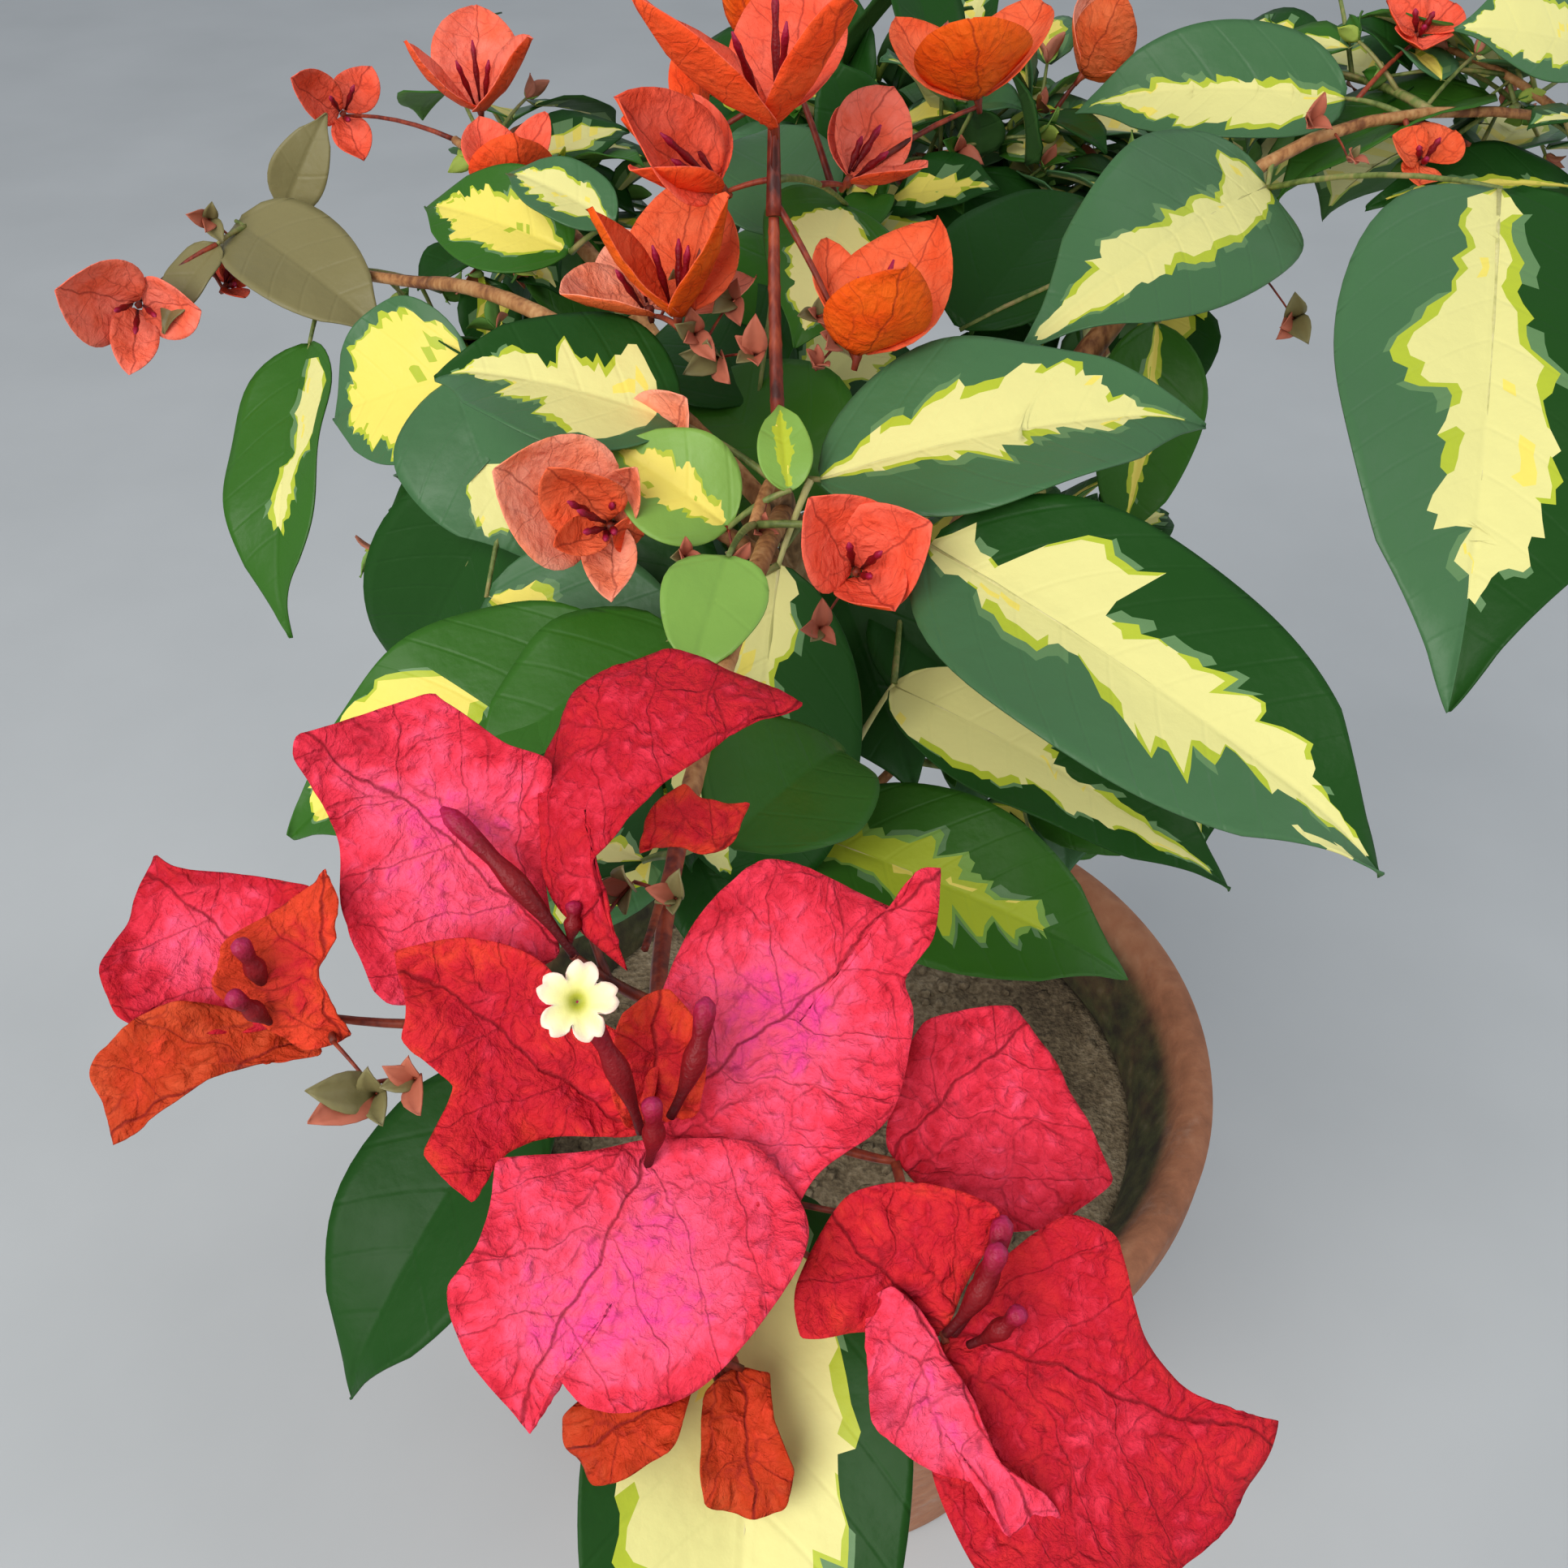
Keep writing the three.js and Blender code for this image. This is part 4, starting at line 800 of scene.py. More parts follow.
# What the photo shows by name in each mass. An arm and a bud have a place and a size. A leaf has a base, tip,
# width, facing, arch, colour, band and the band's colour. A bract is the same to its arch, with an outline,
# tints and cup. A cup has a place, facing, colour and bracts, a floret a place, facing, size, turn and colour
named = {
    "foliage_top": {
        "leaf": [
            ((-5, 14, 492), (-16, -20, 475), 34, (.1, -.9, .4), .04, "freshGreen", "centre"),
            ((-19, 14, 484), (-23, 50, 498), 32, (-.1, -.5, .8), .04, "blueGreen"),
            ((-25, -6, 454), (-44, 35, 459), 38, (-.1, -.6, .8), .05, "deepGreen"),
            ((-14, 6, 448), (9, 38, 452), 40, (.1, -.6, .8), .05, "deepGreen", "feather"),
            ((-20, 14, 462), (-26, 44, 476), 34, (0, -.6, .8), .05, "freshGreen")],
        "cup": [
            ((-21, -27, 524), (-.1, -.2, 1), "vermilion",
             [((-46, -42, 551), 25), ((-15, 8, 543), 24), ((-8, -48, 552), 18)]),
            ((-32, -20, 509), (-.6, -.3, .7), "vermilion",
             [((-51, -28, 529), 21), ((-38, -2, 521), 11), ((-49, -32, 517), 15)]),
            ((-41, -30, 486), (0, -.1, 1), "orange",
             [((-57, -36, 511), 14), ((-39, -7, 506), 24), ((-30, -34, 513), 17)]),
            ((-48, -18, 482), (-.1, -.2, 1), "salmon",
             [((-65, -30, 491), 21), ((-55, 1, 491), 18), ((-25, -9, 485), 18)]),
            ((-4, -43, 484), (.2, .2, .9), "orange",
             [((-11, -24, 500), 15), ((12, -23, 504), 25), ((4, -53, 507), 21)]),
            ((-5, 0, 503), (.5, -.2, .8), "coral",
             [((-7, 14, 513), 10), ((4, 16, 517), 18), ((11, -8, 509), 11)]),
            ((23, 15, 515), (-.2, 0, 1), "orange",
             [((5, 32, 526), 20), ((38, 35, 529), 22), ((19, 4, 534), 25)])],
        "floret": [
            ((-18, 26, 520), (-.1, .7, .7), 22, 60, "orange"),
            ((-40, 26, 503), (-.5, .7, .5), 19, 40, "vermilion")],
        "bud": [((-42, -20, 487), 6), ((-38, -26, 480), 8), ((-33, -24, 474), 9), ((-12, -22, 482), 6),
                ((-8, -24, 477), 8), ((-25, -30, 477), 9), ((-30, -18, 484), 8), ((-12, -30, 474), 7)],
    },
    "foliage_front": {
        "arm": [((-37, -212, 455), 1.2), ((-28, -233, 431.5), 0.8), ((-48, -190, 467), 1),
                ((-60, -192, 456), 1), ((-83, -193, 457.5), 0.9), ((-14, -206, 446), 1),
                ((-4, -209, 446), 0.9), ((2, -232, 439.5), 0.8)],
        "leaf": [
            ((-22, -204, 434), (-27, -288, 382), 44, (0, -.5, .85), .06, "deepGreen", "L19"),
            ((-58, -184, 434), (-86, -222, 403), 30, (-.4, -.6, .7), .08, "deepGreen"),
            ((-42, -152, 448), (-80, -116, 430), 34, (-.2, 0, 1), .06, "deepGreen", "half"),
            ((-29, -150, 450), (-6, -106, 434), 30, (.3, -.2, 1), .06, "freshGreen")],
        "bract": [
            ((-48, -190, 467), (-83, -174, 494), 40, (.1, -.8, .6), -.1, "a", (.06, .30), .12),
            ((-49, -189, 468), (-17, -160, 488), 36, (-.35, -.7, .6), .18, "b", (.34, .40), -.1),
            ((-39, -211, 456), (-72, -196, 474), 37, (.15, -.7, .7), -.06, "c", (.37, .48), .12),
            ((-36, -210, 456), (1, -183, 475), 40, (-.2, -.7, .7), -.08, "d", (.04, .30), .12),
            ((-37, -214, 455), (-53, -243, 437), 40, (0, -.5, .85), .1, "e", (.03, .26), .05),
            ((-46, -186, 466), (-26, -168, 470), 26, (.2, -.6, .75), 0, "behind", (.45, .55), .1),
            ((-37, -210, 454), (-35, -196, 473), 12, (.1, -.8, .6), .05, "fill", (.45, .55), .3),
            ((-5, -209, 446), (19, -189, 457), 30, (.1, -.6, .8), 0, "R1", (.22, .34), .15),
            ((2, -231, 440), (45, -241, 429), 42, (0, -.55, .85), .08, "R2", (.34, .43), .12),
            ((1, -233.5, 441.5), (14, -252.5, 430.5), 26, (-.35, -.62, .7), .12, "R3", (.04, .22), .3),
            ((2, -231, 440), (-16, -216, 450), 24, (-.1, -.6, .8), .08, "R4", (.36, .46), .2),
            ((-82, -193, 458), (-112, -177, 472), 28, (.1, -.7, .7), .05, "LA", (.14, .38), .2),
            ((-81, -199, 460), (-81, -185, 478), 24, (-.3, -.7, .6), .1, "LB", (.52, .66), .4),
            ((-84, -194, 457), (-114, -206, 446), 22, (-.1, -.6, .8), .14, "LC", (.74, .84), .3),
            ((-30.5, -236, 435.5), (-48.5, -242, 428.5), 14, (0, -.6, .8), .1, "bot1", (.72, .78), .2),
            ((-25, -232, 432), (-23, -247, 419), 13, (0, -.7, .7), .1, "bot2", (.72, .78), .2)],
        "bud": [((-41, -177, 468), 7), ((-34.5, -179, 467), 6), ((-74.5, -205, 456), 9),
                ((-69, -204, 458), 7), ((-27, -229, 430), 4)],
    },
    "foliage_crown": {
        "leaf": [
            # A pair of colours gives a leaf a painted sheen on one half and painted shade on the other
            ((9, -79, 462), (88, -141, 436), 52, (.1, -.45, .9), .04, ("blueGreen", "deepGreen"), "L1"),
            ((-12, -60, 465), (67, -51, 475), 44, (0, -.3, 1), .06, "blueGreen", "L2"),
            ((-41, -44, 469), (-94, -30, 474), 38, (0, -.3, 1), .06, ("deepGreen", "blueGreen"), "L5"),
            ((-20, -63, 447), (-26, -62, 343), 46, (-.2, -1, .3), .08, "deepGreen", "L14"),
            ((-29, -98, 472), (-35, -122, 462), 19, (-.1, -.8, .6), .04, "youngGreen"),
            ((-18, -66, 466), (-20, -48, 476), 11, (0, -.6, .8), .04, "youngGreen", "young", "limeEdge"),
            ((-30, -65, 457), (-55, -52, 469), 25, (-.1, -.5, .85), .05, "youngGreen", "young", "yellow"),
            ((-8, -34, 444), (-43, 8, 452), 42, (0, -.6, .8), .05, "freshGreen"),
            ((-41, -68, 432), (-84, -92, 414), 32, (0, -.3, .95), .06, "freshGreen"),
            ((-50, -72, 428), (-128, -92, 397), 48, (-.1, -.4, .9), .06, "freshGreen", "L12", "yellow")],
        "cup": [
            ((-55, -63, 457), (0, -.8, .6), "salmon",
             [((-75, -71, 474), 27), ((-53, -82, 451), 11), ((-48, -67, 472), 10)]),
            ((-54, -68, 459), (-.3, -.8, .5), "orange",
             [((-64, -74, 476), 17), ((-64, -78, 461), 8), ((-48, -64, 454), 8)]),
            ((-47, -45, 460), (.2, -.3, .9), "salmon",
             [((-39, -48, 477), 20), ((-56, -36, 462), 15), ((-43, -38, 461), 8)]),
            ((-5, -84, 459), (.1, -.7, .7), "vermilion",
             [((-14, -86, 477), 20), ((8, -90, 474), 20), ((1, -101, 462), 14)])],
        "bud": [((-39, -73, 455), 7), ((-12, -86, 447), 7), ((-24, -70, 459), 5), ((-29, -70, 452), 5)],
    },
    "foliage_low_front": {
        "leaf": [
            ((-14, -62, 368), (62, -96, 355), 44, (0, -.4, .9), .06, "freshGreen", "L15", "limeEdge"),
            ((6, -55, 408), (75, -107, 397), 30, (.1, -.5, .85), .06, "deepGreen", "L21"),
            ((10, -22, 412), (34, -62, 392), 38, (.1, -.5, .85), .06, "deepGreen"),
            ((-11, -15, 427), (13, -57, 377), 40, (0, -.8, .6), .06, "deepGreen"),
            ((41, -9, 401), (7, -43, 386), 38, (0, -.5, .85), .06, "deepGreen")],
    },
    "foliage_left": {
        "leaf": [
            ((-92, 2, 458), (-132, 12, 440), 40, (-.1, -.7, .7), .05, "blueGreen", "L6", "yellow"),
            ((-96, -2, 458), (-78, -36, 430), 38, (-.3, -.7, .6), .06, "blueGreen", "L7"),
            ((-82, -22, 440), (-118, -16, 374), 44, (-.3, -.85, .4), .06, "deepGreen"),
            ((-87, -42, 424), (-34, -67, 409), 42, (0, -.5, .85), .06, "blueGreen", "L11", "yellow"),
            ((-65, -15, 438), (-38, -57, 396), 40, (0, -.6, .8), .06, "deepGreen")],
    },
    "foliage_far_left": {
        "leaf": [
            ((-143, 44, 444), (-148, -14, 392), 34, (-.5, -.75, .5), .06, "freshGreen", "L8"),
            ((-166, 76, 463), (-122, 40, 448), 30, (.2, -.6, .8), .05, "oliveBrown"),
            ((-155, 84, 463), (-140, 88, 487), 15, (.2, -.8, .5), .05, "oliveBrown"),
            ((-168, 64, 462), (-182, 46, 446), 13, (-.3, -.7, .6), .05, "oliveBrown")],
        "cup": [
            ((-188, 51, 451), (.3, -1, .1), "coral",
             [((-200, 34, 463), 24), ((-169, 43, 453), 17), ((-188, 34, 440), 12)]),
            ((-169, 65, 450), (.7, -.3, .7), "vermilion",
             [((-162, 71, 458), 9), ((-175, 73, 454), 9), ((-163, 60, 449), 8)])],
        "bud": [((-171, 70, 466), 9)],
    },
    "foliage_right": {
        "leaf": [
            ((97, 38, 487), (34, -22, 477), 44, (.1, -.6, .8), .08, "blueGreen", "L3"),
            # A pair of colours gives this leaf a painted sheen on one half and painted shade on the other
            ((131.5, -8, 504), (105, -111.5, 449.5), 62, (-.15, -.6, .8), .04, ("blueGreen", "deepGreen"),
             "L4"),
            ((121, 66, 498), (56, 80, 492), 34, (0, -.6, .8), .08, "blueGreen", "half"),
            ((72, 22, 460), (66, -3, 412), 28, (.1, -1, .3), .05, "freshGreen", "rib", "yellow"),
            ((24, 18, 460), (58, 58, 478), 36, (-.2, -.5, .8), .05, "deepGreen"),
            ((176, 64, 511), (141, 59, 517), 27, (0, -.7, .75), .05, "blueGreen", "L19"),
            ((186, 66, 476), (130, 58, 476), 24, (0, -.3, .95), .05, "deepGreen", "rib", "yellow")],
        "cup": [
            ((135, 44, 490.5), (0, -.5, .85), "orange",
             [((127, 46, 496), 12), ((143, 50, 496), 13), ((132, 34, 489), 10)]),
            ((140, 79.5, 509), (0, -.3, .95), "vermilion",
             [((131, 83, 516), 16), ((149, 85, 515), 16), ((138, 69, 509), 14)])],
        "bud": [((106, 46, 499), 7), ((105, 22, 461), 9), ((115, 38, 493), 6)],
    },
    "foliage_back_left": {
        "leaf": [
            ((-72, 40, 470), (-112, 62, 474), 30, (0, -.6, .8), .05, "freshGreen", "centre", "yellow"),
            ((-60, 33, 480), (-88, 52, 486), 18, (0, -.5, .9), .05, "blueGreen", "centre")],
        "cup": [
            ((-103, 109, 481), (0, -.2, 1), "coral",
             [((-118, 96, 503), 14), ((-106, 135, 501), 24), ((-86, 102, 502), 23)]),
            ((-92, 75, 471), (.1, 0, 1), "vermilion",
             [((-101, 91, 485), 18), ((-82, 90, 487), 12), ((-86, 64, 490), 22)]),
            ((-147, 130, 473), (.3, -.8, .6), "vermilion",
             [((-156, 118, 487), 14), ((-141, 147, 481), 13), ((-140, 116, 465), 11)])],
    },
}

twigHeap, tubeHeap, budHeap = Heap(), Heap(), Heap()
namedLeaves, frontLeaves, backLeaves, rightLeaves = Heap(), Heap(), Heap(), Heap()
heroBracts, floretBracts, openFlower = Heap(), Heap(), Heap()
fineTube, twigTube, heroTube = tubeTemplate(5, 4), tubeTemplate(6, 6), tubeTemplate(12, 18)
mapUnit = 100  # millimetres of a surface that its UV map's unit covers


# A round tube through a row of points, its rings kept from twisting
def addTube(heap, shape, points, radii, slot=0, tint=0.0):
    points = np.array(points, float)
    ahead = np.gradient(points, axis=0)
    ahead /= np.linalg.norm(ahead, axis=1, keepdims=True)
    side = np.cross(ahead[0], [0.31, 0.55, 0.77])
    sides = []
    for step in ahead:
        side = unit(side - step * (side @ step))
        sides.append(side)
    sides = np.array(sides)
    over = np.cross(ahead, sides)
    ring, turn = shape["ring"], shape["turn"]
    reach = (np.array(radii)[ring] * shape["out"])[:, None]
    at = points[ring] + reach * (np.cos(turn)[:, None] * sides[ring] + np.sin(turn)[:, None] * over[ring])
    heap.add(shape, at, slot, tint=np.array(tint)[ring] if np.ndim(tint) else tint)


def addTwig(curve, radius, slot, shape=twigTube):
    shares = np.linspace(0, 1, shape["steps"] + 1)
    addTube(twigHeap, shape, [curve(t) for t in shares], radius * (1 - rule["taper"] * shares), slot)


def twigCurve(start, end, lift=rule["lift"]):
    start, end = Vector(start), Vector(end)
    middle = (start + end) / 2
    middle.z += lift * (end - start).length
    return quadratic(start, middle, end)


def clearOfLimbs(points, room):
    away = np.linalg.norm(limbPoints[None, :, :3] - np.array(points)[:, None, :], axis=2)
    return bool((away > limbPoints[:, 3] + room).all())


def curveClear(curve, room):
    return clearOfLimbs([curve(t) for t in (0.25, 0.5, 0.75, 1)], room)


leafForm = {"widest": 0.38, "power": 1.42, "drip": 0.3, "slant": 0.5, "slantFrom": 0.2, "slantGain": 1.6,
            "ends": (0.004, 0.999), "cup": 0.24, "wave": 0.016, "waves": (1.2, 2.2), "waveStep": 1.3,
            "turn": 6.28, "quilt": 0.0045, "quiltLean": 1.1, "quiltStep": 8.5, "tipDrop": 0.05,
            "tipFrom": 0.8, "tipRun": 0.2, "ribLong": 45, "ribReach": 0.93, "ribSink": 0.3, "ribFull": 60,
            "ribSize": 0.0062, "ribTaper": 0.82, "flecks": 0.22,
            "rims": 0.8, "sage": 0.4, "thickness": 0.38, "budThickness": 0.2}
# The ragged edges of a colour band, the strips beside them, and how near the margin and the midrib they come
bandForm = {"least": 0.012, "jag": 0.24, "widest": 0.6, "coarse": (-0.7, 1), "fine": (-0.25, 0.25),
            "strip": 0.07, "stripShare": (0.15, 1.9), "near": 0.9, "far": 0.93, "margin": 0.96,
            "midrib": 0.02, "sectors": 12}
bractForm = {"widest": 0.41, "power": 1.32, "drip": 0.0, "thickness": 0.22}
drawnTip = {"from": 0.78, "run": 0.14}


# The share of a blade's half width at each share of its length: round below, drawn out to a tip
def outlineShare(s, form):
    p = form["widest"]
    drawnOut = 1 - form["drip"] * np.clip((s - drawnTip["from"]) / drawnTip["run"], 0, 1)
    return ((s / p) ** p * ((1 - s) / (1 - p)) ** (1 - p)) ** form["power"] * drawnOut


def bladeFrame(base, tip, face):
    base, tip = np.array(base, float), np.array(tip, float)
    length = np.linalg.norm(tip - base)
    along = (tip - base) / length
    normal = unit(np.array(face, float) - along * np.dot(face, along))
    return base, length, along, normal, np.cross(normal, along)


# One value for each row, alike over a few rows at a time as between two side veins
def sectors(count, low, high, longest, draw):
    values = []
    while len(values) < count:
        values += [draw(low, high)] * int(draw(1, longest + 0.99))
    return np.array(values[:count])


# Where each column of a leaf's grid lies in each row, so that the edges of its colour band fall between faces
def leafColumns(rows, margin, centre, stations, draw):
    u, form = np.linspace(0, 1, rows + 1), bandForm
    if not stations:
        return np.tile(np.linspace(-1, 1, 2 * margin + centre + 3), (rows + 1, 1)), np.zeros(rows, bool)
    at, low, high = np.array(stations).T
    lows, highs = np.interp(u, at, low), np.interp(u, at, high)
    opened = (u >= at[0] - 0.5 / rows) & (u <= at[-1])
    longest = max(1, rows // form["sectors"])
    span = np.clip(highs - lows, 0, form["widest"])
    for edge, sign in ((lows, -1), (highs, 1)):
        steps = sectors(rows + 1, *form["coarse"], longest, draw) + sectors(rows + 1, *form["fine"], 1, draw)
        edge += sign * form["jag"] * span * steps
    middle, half = (lows + highs) / 2, np.maximum((highs - lows) / 2, form["least"])
    half = np.where(opened, half, form["least"])
    below, above = [form["strip"] * sectors(rows + 1, *form["stripShare"], longest, draw) for _ in range(2)]
    lows = np.clip(middle - half, -form["far"], form["near"])
    highs = np.clip(middle + half, -form["near"], form["far"])
    rowsOf = []
    for lo, hi, a, b in zip(lows, highs, below, above):
        left, right = max(lo - a, -form["margin"]), min(hi + b, form["margin"])
        inner = np.linspace(lo, hi, centre + 1)
        if lo < -form["midrib"] and hi > form["midrib"]:
            upper = np.linspace(0, hi, centre - centre // 2 + 1)[1:]
            inner = np.concatenate([np.linspace(lo, 0, centre // 2 + 1), upper])
        outer = [np.linspace(*ends, margin + 1) for ends in ((-1, left), (right, 1))]
        rowsOf.append(np.concatenate([outer[0], inner, outer[1]]))
    return np.array(rowsOf), opened[:-1] & opened[1:]


# A leaf: its blade, and the stalk that runs on as its midrib
def addLeaf(heap, shape, leaf, draw, stalkSlot=green):
    base, length, along, normal, side = bladeFrame(leaf["base"], leaf["tip"], leaf["face"])
    half, form, rows = leaf["width"] / 2, leafForm, shape["rows"]
    margin = centre = (shape["columns"] - 2) // 3  # and a column for the strip at each side of the band
    phase, waves, fullTurn = draw(0, form["turn"]), draw(*form["waves"]), form["turn"]
    columns, opened = leafColumns(rows, margin, centre, bands[leaf["band"]], draw)
    start = leaf.get("stalk", 0.0)

    def surface(s, v):
        wide = outlineShare(s, form) * half
        lift = 4 * leaf["arch"] * length * s * (1 - s) + form["cup"] * abs(v) * wide
        wave = np.sin(fullTurn * waves * s + phase + form["waveStep"] * np.sign(v))
        lift = lift + form["wave"] * length * wave * v * v
        lift = lift - form["tipDrop"] * length * np.clip((s - form["tipFrom"]) / form["tipRun"], 0, 1) ** 2
        sweep = (s * length - form["quiltLean"] * abs(v) * wide) / form["quiltStep"]
        ripple = form["quilt"] * half * np.cos(fullTurn * sweep)
        lift = lift + ripple * np.minimum(1, 3 * abs(v)) * (1 - abs(v))
        at = base + np.multiply.outer(mix(start, 1, s) * length, along) + np.multiply.outer(v * wide, side)
        return at + np.multiply.outer(lift - 4 * leaf["arch"] * length * start * (1 - s), normal)

    u = shape["row"] / rows
    v = columns[shape["row"], shape["column"]]
    lean = form["slant"] * abs(v) * (1 - u) * np.minimum(1, u / form["slantFrom"]) * u * form["slantGain"]
    s = np.clip(mix(*form["ends"], u + lean), *form["ends"])
    points = surface(s, v)
    uv = np.stack([s * length / mapUnit, v * outlineShare(s, form) * half / mapUnit], 1)
    row, column = shape["faceRow"], shape["faceColumn"]
    zone = np.array([0] * margin + [1] + [2] * centre + [1] + [0] * margin)[column]
    longest = max(1, rows // bandForm["sectors"])
    chance = [sectors(rows, 0, 1, longest, draw)[row] for _ in range(4)]
    inBand, faceU = opened[row], (row + 0.5) / rows
    faceV = (columns[row, column] + columns[row, column + 1]) / 2
    # A leaf given a pair of colours has a painted sheen on one half and painted shade on the other
    colors = leaf["color"] if isinstance(leaf["color"], tuple) else (leaf["color"], leaf["color"])
    baseSlot = np.where(faceV < 0, *[leafSlot[name] for name in colors])
    bandSlot = leafSlot[leaf["bandColor"]]
    rim = leafSlot["youngGreen" if leaf["bandColor"] == "limeEdge" else "limeEdge"]
    inner = {"cream": "yellow", "yellow": "limeEdge", "limeEdge": "yellow"}[leaf["bandColor"]]
    fleck = (chance[0] < form["flecks"]) & (column == margin + 1 + (row // longest) % centre)
    slots = np.where(fleck, leafSlot[inner], bandSlot)
    slots = np.where(zone == 1, np.where(chance[1] < form["rims"], rim, bandSlot), slots)
    slots = np.where(inBand & (zone > 0), slots, baseSlot)
    if leaf["band"] not in plainBands:
        below = (column == margin - 1) & (chance[2] < form["sage"])
        above = (column == margin + centre + 2) & (chance[3] < form["sage"])
        slots = np.where(inBand & (below | above), leafSlot["sageGreen"], slots)
    for low, high, near, far in patches.get(leaf["band"], ()):
        slots = np.where((faceU > low) & (faceU < high) & (faceV > near) & (faceV < far), bandSlot, slots)
    heap.add(shape, points, slots, uv)
    ribShape = twigTube if length > form["ribLong"] else fineTube
    count = ribShape["steps"] + 1
    shares = np.linspace(0.0, form["ribReach"], count)
    sink = form["ribSink"] * normal * min(1, length / form["ribFull"])
    rib = surface(np.maximum(shares, form["ends"][0]), np.zeros(count)) - sink
    if start:
        rib = np.concatenate([[base], rib[:-1]])
    addTube(twigHeap, ribShape, rib, form["ribSize"] * length * (1 - form["ribTaper"] * shares), stalkSlot)


bladeForm = {"ends": (0.006, 0.994), "fold": (0.45, 0.55), "wave": 0.035, "waves": 5,
             "wrinkle": 3.5, "crease": 8, "creaseShare": 0.8}


def noiseAt(point, size):
    return noise.noise([part / size for part in point])


# A small bract of a floret, or a bud leaf
def addSmallBlade(heap, shape, base, tip, face, width, arch, cup, form, slot, phase=0.0, crumple=0.0):
    base, length, along, normal, side = bladeFrame(base, tip, face)
    u, v = shape["row"] / shape["rows"], 2 * shape["column"] / shape["columns"] - 1
    s = np.clip(u, *bladeForm["ends"])
    wide = outlineShare(s, form) * width / 2
    fold = bladeForm["fold"][0] * v * v + bladeForm["fold"][1] * abs(v)
    lift = 4 * arch * length * s * (1 - s) + cup * fold * wide
    lift = lift + bladeForm["wave"] * length * np.sin(bladeForm["waves"] * s + phase) * v
    points = base + np.multiply.outer(s * length, along) + np.multiply.outer(v * wide, side)
    points = points + np.multiply.outer(lift, normal)
    if crumple:
        sizes = bladeForm["wrinkle"], bladeForm["crease"]
        wrinkle, crease = [np.array([noiseAt(point, size) for point in points]) for size in sizes]
        points = points + np.multiply.outer(crumple * (wrinkle + bladeForm["creaseShare"] * crease), normal)
    heap.add(shape, points, slot, np.stack([s * length / mapUnit, v * wide / mapUnit], 1))


smallGrid, bractGrid = gridTemplate(6, 4), gridTemplate(12, 10)
leafGrid, plainGrid, heroGrid = gridTemplate(12, 8), gridTemplate(24, 14), gridTemplate(48, 26)
heroDisc = discTemplate(40)


# A flower's slim tube: a stalk, a swelling, a waist and a rounded tip
tubeForm = {"shares": [0, 0.2, 0.42, 0.52, 0.66, 0.88, 0.96, 1], "bow": [0.05, -0.04, 0.03],
            "radii": [0.65, 0.7, 1.5, 1.75, 1.1, 1.55, 1.3, 0.4]}


def addFlowerTube(shape, start, end, size, bow=0.0):
    a, b = np.array(start, float), np.array(end, float)
    shares = np.linspace(0, 1, shape["steps"] + 1)
    sideways = np.array(tubeForm["bow"]) * np.linalg.norm(b - a) * bow
    line = [a + (b - a) * t + sideways * 4 * t * (1 - t) for t in shares]
    addTube(tubeHeap, shape, line, size * np.interp(shares, tubeForm["shares"], tubeForm["radii"]), 0, shares)


calyxForm = {"foot": 3.4, "along": (0, 1.6, 2.8, 3.8, 4.2), "radii": [0.7, 0.8, 1.1, 1.0, 0.4]}


# Where a floret's stalk swells into it
def addCalyx(at, out):
    foot = at - calyxForm["foot"] * out
    addTube(twigHeap, fineTube, [foot + reach * out for reach in calyxForm["along"]], calyxForm["radii"], red)


# Three pointed bracts cupped round the way the floret faces, each with a dark flower tube
cupForm = {"foot": 1.0, "cup": 0.5, "cupShare": (0.7, 1.2), "arch": -0.10, "archShare": (0.5, 1.3),
           "crumple": 0.32, "tube": 0.5, "tubeShare": (0.85, 1.1), "tubeSize": 0.55, "tubeFoot": 0.08,
           "lean": 0.6}
floretForm = {"out": 0.74, "outShare": (0.85, 1.1), "rise": 0.72, "riseShare": (0.7, 1.2), "wide": 0.86,
              "wideShare": (0.8, 1.05), "stray": 18, "back": 3.1}
sprigForm = {"stray": 0.4, "spread": (0.5, 1.1), "fold": 0.8, "width": 0.55, "arch": 0.06, "cup": 0.35}


def addCup(at, face, color, bracts, draw):
    at, out, form = np.array(at, float), unit(np.array(face, float)), cupForm
    for tip, width in bracts:
        ray = np.array(tip, float) - at
        length = np.linalg.norm(ray)
        aside = unit(ray - out * (ray @ out) + 1e-6)
        arch, cup = form["arch"] * draw(*form["archShare"]), form["cup"] * draw(*form["cupShare"])
        addSmallBlade(floretBracts, bractGrid, at + form["foot"] * aside, tip, out + 1e-3, width, arch, cup,
                      bractForm, bractSlot[color], draw(0, 6), form["crumple"])
        aim, start = unit(form["lean"] * ray / length + out), at + form["tubeFoot"] * ray
        end = start + aim * length * form["tube"] * draw(*form["tubeShare"])
        addFlowerTube(twigTube, start, end, form["tubeSize"])
    addCalyx(at, out)


def addFloret(at, face, size, spin, color, draw):
    out, form = unit(np.array(face, float)), floretForm
    first = unit(np.array([0, 0, 1.0]) - out * out[2])
    second = np.cross(out, first)
    bracts = []
    for k in range(3):
        turn = math.radians(spin + 120 * k + draw(-form["stray"], form["stray"]))
        ray = first * math.cos(turn) + second * math.sin(turn)
        rise = form["rise"] * draw(*form["riseShare"])
        tip = np.array(at) + size * (form["out"] * draw(*form["outShare"]) * ray + rise * out)
        bracts.append((tip, form["wide"] * size * draw(*form["wideShare"])))
    addCup(at, face, color, bracts, draw)


